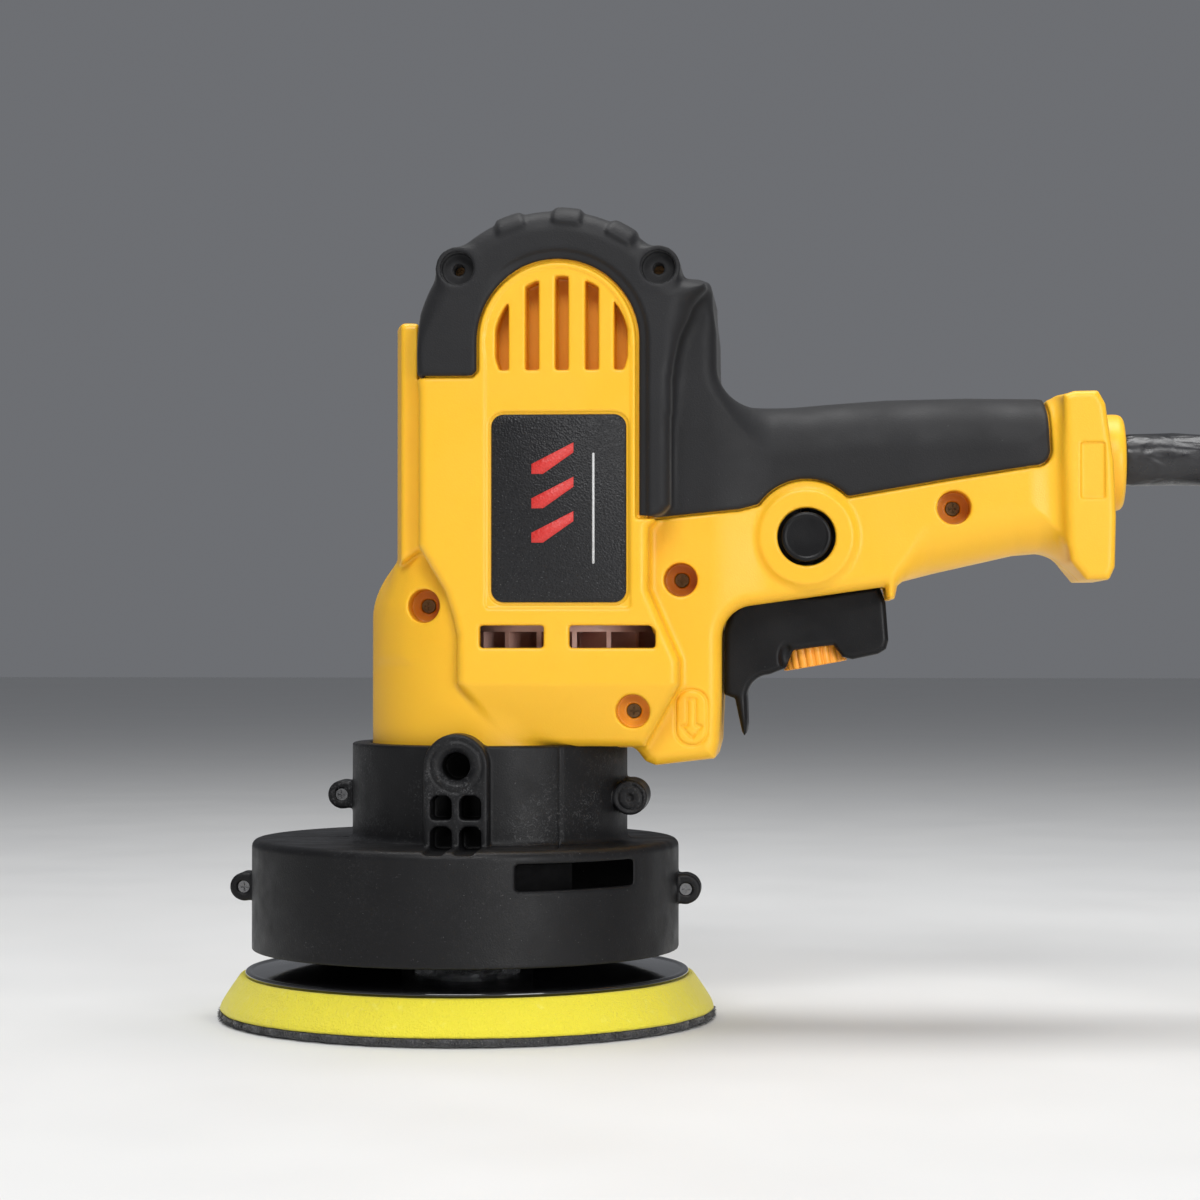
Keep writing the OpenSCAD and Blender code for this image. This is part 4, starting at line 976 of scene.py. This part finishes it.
def round_profile(points, r, steps=4):
    """A profile with every inner corner replaced by a small arc."""
    out = [points[0]]
    for a, b, c in zip(points, points[1:], points[2:]):
        a, b, c = (np.array(q, float) for q in (a, b, c))
        u, v = a - b, c - b
        cut = min(r, 0.45 * np.linalg.norm(u), 0.45 * np.linalg.norm(v))
        p = b + u / max(np.linalg.norm(u), 1e-9) * cut
        q = b + v / max(np.linalg.norm(v), 1e-9) * cut
        for i in range(steps + 1):
            t = i / steps
            out.append(tuple((1 - t) ** 2 * p + 2 * t * (1 - t) * b + t * t * q))
    out.append(points[-1])
    return out


def build_controls(plastic, orange):
    axis = (-math.sin(DIAL_TILT), 0, math.cos(DIAL_TILT))

    def knurl(r, h, a):
        if r < 6.5:
            return r
        wave = abs(math.cos(a * 11)) ** 0.6
        return r - 0.75 + 0.75 * wave

    profile = round_profile([(0.01, 3.1), (7.9, 3.1), (8.0, -2.0), (0.01, -2.0)], 0.5)
    dial = lathe("dial", profile, (DIAL[0], 0, DIAL[1]), 264, knurl, axis)
    dress(sharpen(dial, 50), "speed_dial", "dial_plastic", orange, "speed_dial")
    face = round_profile([(0.01, -20.5), (4.9, -20.55), (5.3, -20.75), (6.05, -20.5), (6.1, -15.5),
                          (2.4, -15.5), (2.4, -12.7), (0.01, -12.7)], 0.4)
    button = lathe("button", [(r, -h) for r, h in face], (BUTTON[0], 0, BUTTON[1]), 96, None,
                   (0, -1, 0))
    dress(sharpen(button, 50), "lock_button", "trigger_plastic", plastic, "lock_button")


# ---- pad

PAD_Y = 4


def build_pad(plate, yellow_foam, hooks):
    rng = np.random.default_rng(7)
    wave = rng.uniform(0, 2 * math.pi, 24)

    def soft(r, h, a):
        if r < 20:
            return r
        wobble = sum(math.sin(a * (3 + 2.3 * i) + wave[i]) / (2.0 + i) for i in range(12))
        low = 1 - min(max((h - 2) / 8.5, 0), 1)
        return r + wobble * 0.16 * (0.3 + low)

    bulge = [(0.01, 2.0), (60, 2.0), (62.0, 2.1), (62.35, 2.6), (61.9, 3.9), (60.6, 6.0), (59.1, 8.2),
             (57.9, 9.9), (57.3, 10.7), (56.7, 10.9), (55.8, 10.7), (54, 10.5), (0.01, 10.5)]
    pad = lathe("foam_disc", round_profile(bulge, 0.5, 3), (0, PAD_Y, 0), 360, soft)
    dress(pad, "pad", "pad_foam", yellow_foam, "pad_foam")

    rim = [(0.01, 10.55), (54.6, 10.55), (55.4, 10.7), (55.9, 11.1), (55.95, 11.7), (55.5, 12.05),
           (54.6, 12.0), (54.2, 11.75), (53.6, 11.8), (52, 12.0), (44, 12.9), (34, 14.1),
           (26, 15.0), (22, 15.6), (18, 15.9), (15, 16.4), (13.4, 18), (13, 20.1), (0.01, 20.1)]
    disc = lathe("plate_disc", round_profile(rim, 0.3, 3), (0, PAD_Y, 0), 256)
    dress(sharpen(disc, 40), "pad", "plate_nylon", plate, "backing_plate")

    def ragged(r, h, a):
        if r < 50:
            return r
        return r + 0.22 * math.sin(a * 41 + wave[3]) + 0.2 * math.sin(a * 67 + wave[5])

    under = [(0.01, 0.02), (61.2, 0.03), (62.0, 0.5), (62.3, 1.2), (62.1, 1.95), (0.01, 2.0)]
    felt = lathe("hook_disc", under, (0, PAD_Y, 0), 480, ragged)
    felt = join("hook_layer", [felt, hook_fibres(rng)])
    dress(felt, "pad", "hook_nylon", hooks, "pad_hook_face")


def hook_fibres(rng):
    """Short bent fibres that stand out of the hook layer's edge."""
    count = 3400
    a = rng.uniform(0, 2 * math.pi, count)
    z0 = rng.uniform(0.35, 1.9, count)
    lean = rng.uniform(-0.9, 0.9, count)
    length = rng.uniform(0.5, 1.15, count)
    drop = rng.uniform(-0.7, 0.35, count)
    thick = rng.uniform(0.05, 0.1, count)
    faces = []
    out = np.stack([np.cos(a), np.sin(a), 0 * a], 1)
    round_ = np.stack([-np.sin(a), np.cos(a), 0 * a], 1)
    up = np.array([0, 0, 1.0])
    rings = []
    for t in (0.0, 0.4, 0.75, 1.0):
        mid = (out * (61.9 + length * t)[:, None] + round_ * (lean * length * t * t)[:, None])
        mid[:, 2] = np.clip(z0 + drop * length * t * t, 0.12, 2.3)
        mid[:, 1] += PAD_Y
        wide = thick * (1 - 0.55 * t)
        rings.append(np.stack([mid + round_ * wide[:, None], mid - round_ * wide[:, None],
                               mid + up * wide[:, None] * 1.4], 1))
    points = np.stack(rings, 1).reshape(-1, 3)
    base = np.arange(count)[:, None] * 12
    for i in range(3):
        for k in range(3):
            k2 = (k + 1) % 3
            faces.append(base + np.array([[i * 3 + k, i * 3 + k2, i * 3 + 3 + k2, i * 3 + 3 + k]]))
    return mesh_from("fibres", points, [np.concatenate(faces)])


# ---- labels

def plate_mesh(name, points, y0, y1, bevel=0.35, mirror=False):
    """A thin plate from an outline in X and Z, between y0 and y1, with a bevelled front."""
    n = len(points)
    p = np.array(points, float)
    mid = p.mean(0)
    inner = mid + (p - mid) * (1 - bevel / np.maximum(np.abs(p - mid).max(1), 1e-6))[:, None]
    rows = [(p, y1), (p, y0 + (y1 - y0) * 0.45), (inner, y0)]
    sign = -1 if mirror else 1
    verts = np.concatenate([np.stack([q[:, 0], np.full(n, sign * h), q[:, 1]], 1) for q, h in rows])
    k = np.arange(n)
    k2 = (k + 1) % n
    sides = np.concatenate([np.stack([i * n + k, i * n + k2, (i + 1) * n + k2, (i + 1) * n + k], 1)
                            for i in range(2)])
    front = (2 * n + k)[None, :]
    faces = [sides, front]
    if mirror:
        faces = [f[:, ::-1] for f in faces]
    return mesh_from(name, verts, faces)


def rounded_outline(cx, cz, hx, hz, r, steps=8):
    points = []
    for sx, sz, start in ((1, 1, 0), (-1, 1, 90), (-1, -1, 180), (1, -1, 270)):
        points += arc(cx + sx * (hx - r), cz + sz * (hz - r), r, start, start + 90, steps)
    return points


def build_labels(film, red, grey):
    for side, mirror in (("left", False), ("right", True)):
        base = plate_mesh(side + "_badge", rounded_outline(26, 126.7, 16.35, 22.7, 3.0), -31.55,
                          -30.95, 0.4, mirror)
        dress(sharpen(base), "body", "label_film", film, side + "_label")
        marks = []
        for i in range(3):
            z = 118.4 + i * 8.3
            marks.append(plate_mesh("mark", [(19.4, z), (22.2, z), (29.6, z + 5.2), (29.6, z + 7.6),
                                             (19.4, z + 2.4)], -31.62, -31.5, 0.05, mirror))
        rule = plate_mesh(side + "_rule", rounded_outline(34.4, 126.7, 0.28, 13.4, 0.27, 3), -31.61,
                          -31.5, 0.02, mirror)
        stripes = join(side + "_stripes", marks)
        dress(stripes, "body", "label_film", red)
        dress(rule, "body", "label_film", grey)


# ---- boot and plug

def build_boot(material):
    profile = [(0.01, 163.5), (5.6, 163.6), (6.3, 164.5), (6.45, 166), (6.5, 176), (6.35, 184),
               (6.5, 190), (6.1, 195), (5.5, 201), (4.9, 206), (4.5, 209.3), (4.1, 209.9),
               (3.6, 209.6)]
    rng = np.random.default_rng(3)
    phase = rng.uniform(0, 6.28, 6)

    def crinkle(r, h, a):
        if r < 2:
            return r
        k = 0.13 if r > 5 else 0.04
        return r + k * (math.sin(3 * a + h * 0.31 + phase[0]) + math.sin(5 * a - h * 0.44 + phase[1]))

    boot = lathe("boot", round_profile(profile, 0.6, 3), (0, 0, EXIT[2]), 96, crinkle, (1, 0, 0))
    dress(boot, "body", "cord_rubber", material, "strain_relief")


def build_plug(material):
    f = Field((-1, -17, -9.2), (37, 17, 9.2), 0.6)
    x, y, z = f.x, f.y, f.z
    half = 14 - 5.6 * ease((x - 5) / 16)
    high = 8.3 - 2.0 * ease((x - 4) / 14)
    u = np.abs(y) - half + 4
    v = np.abs(z) - high + 4
    flat = np.minimum(np.maximum(u, v), 0) + np.hypot(np.maximum(u, 0), np.maximum(v, 0)) - 4
    d = smax(flat, np.maximum(0.2 - x, x - 23), 1.6)
    neck = np.hypot(y, z) - 6.6 + 0.14 * np.maximum(x - 20, 0)
    for ring in (23.5, 27, 30.5):
        neck = neck + 0.5 * np.exp(-((x - ring) / 0.7) ** 2)
    d = smin(d, smax(neck, np.maximum(14 - x, x - 35.8), 0.6), 1.5)
    plug = skin("plug", f, d)
    plug.data.transform(Matrix.Translation(Vector(PLUG) * MM) @ Matrix.Rotation(math.pi / 2, 4, "Z"))
    dress(plug, "body", "cord_rubber", material, "plug_body")


# ---- the CAD pieces that stay

def paint(nodes, material):
    for name in nodes:
        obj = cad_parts[name]
        if not obj.material_slots:
            obj.data.materials.append(material)
        for slot in obj.material_slots:
            slot.material = material


def paint_frame():
    steel = metal("bearing_steel", (0.56, 0.57, 0.59), 0.26, (0.3, 0.3, 3))
    zinc = metal("bright_steel", (0.60, 0.61, 0.62), 0.3)
    paint(["motor_bearings", "motor_bearing_rings", "spindle_bearing", "spindle_bearing_ring",
           "pad_bearing", "pad_bearing_ring", "armature_shaft", "motor_pinion", "output_gear",
           "output_spindle", "gear_key", "pad_spindle", "bearing_circlip", "brush_springs",
           "trigger_spring", "lock_spring"], steel)
    paint(["side_handle_nuts", "gear_plate_screws", "cord_clamp_screws", "hub_screw"], zinc)
    paint(["shroud_screws"], metal("dark_steel", (0.22, 0.22, 0.225), 0.32, grime=0.8))
    paint(["housing_screws"], metal("screw_steel", (0.21, 0.12, 0.055), 0.34, grime=0.7))
    paint(["gear_case", "gear_plate"], metal("cast_aluminium", (0.50, 0.51, 0.53), 0.48, grime=0.4))
    paint(["stator_core", "armature_core"], lamination_steel())
    paint(["field_coils", "armature_windings"], enamelled_copper())
    paint(["commutator"], metal("commutator_copper", (0.60, 0.28, 0.13), 0.25, (0.3, 0.3, 3)))
    paint(["brush_holders", "spindle_bush", "plug_pins"], metal("brass", (0.66, 0.46, 0.18), 0.28))
    paint(["carbon_brushes"], painted("carbon", (0.03, 0.03, 0.033), 0.55, 0.5))
    paint(["switch_body", "cord_clamp"], painted("inner_plastic", (0.05, 0.05, 0.053)))
    paint(["fan_baffle"], painted("baffle_plastic", (0.42, 0.13, 0.08)))
    paint(["fan"], painted("fan_plastic", (0.80, 0.50, 0.42), 0.42, 0.1))
    # painted shade: the eccentric hub is coloured near black, with little specular, to stand for the shade
    # seen through the sight slot
    paint(["eccentric_hub"], painted("hub_black_for_shade", (0.004, 0.004, 0.0045), 0.7, 0.4, spec=0.1))
    paint(["suppression_capacitor"], painted("capacitor_film", (0.72, 0.52, 0.06), 0.3))
    paint(["inner_leads"], painted("wire_insulation", (0.03, 0.03, 0.034), 0.4))


# ---- making it

make_camera()
black_cord = cord_rubber()
the_cord, cord_length = make_cord(black_cord)
build_plug(black_cord)
make_stage(pale_floor())
build_housing(yellow_plastic(), grip_rubber())
build_shroud(shroud_plastic())
satin = trigger_plastic()
build_trigger(satin)
build_controls(satin, dial_plastic())
build_pad(plate_plastic(), foam(), hook_nylon())
build_labels(label_film(), print_ink("red_ink", (0.62, 0.03, 0.025)),
             print_ink("grey_ink", (0.62, 0.62, 0.62)))
build_boot(boot_rubber())
paint_frame()
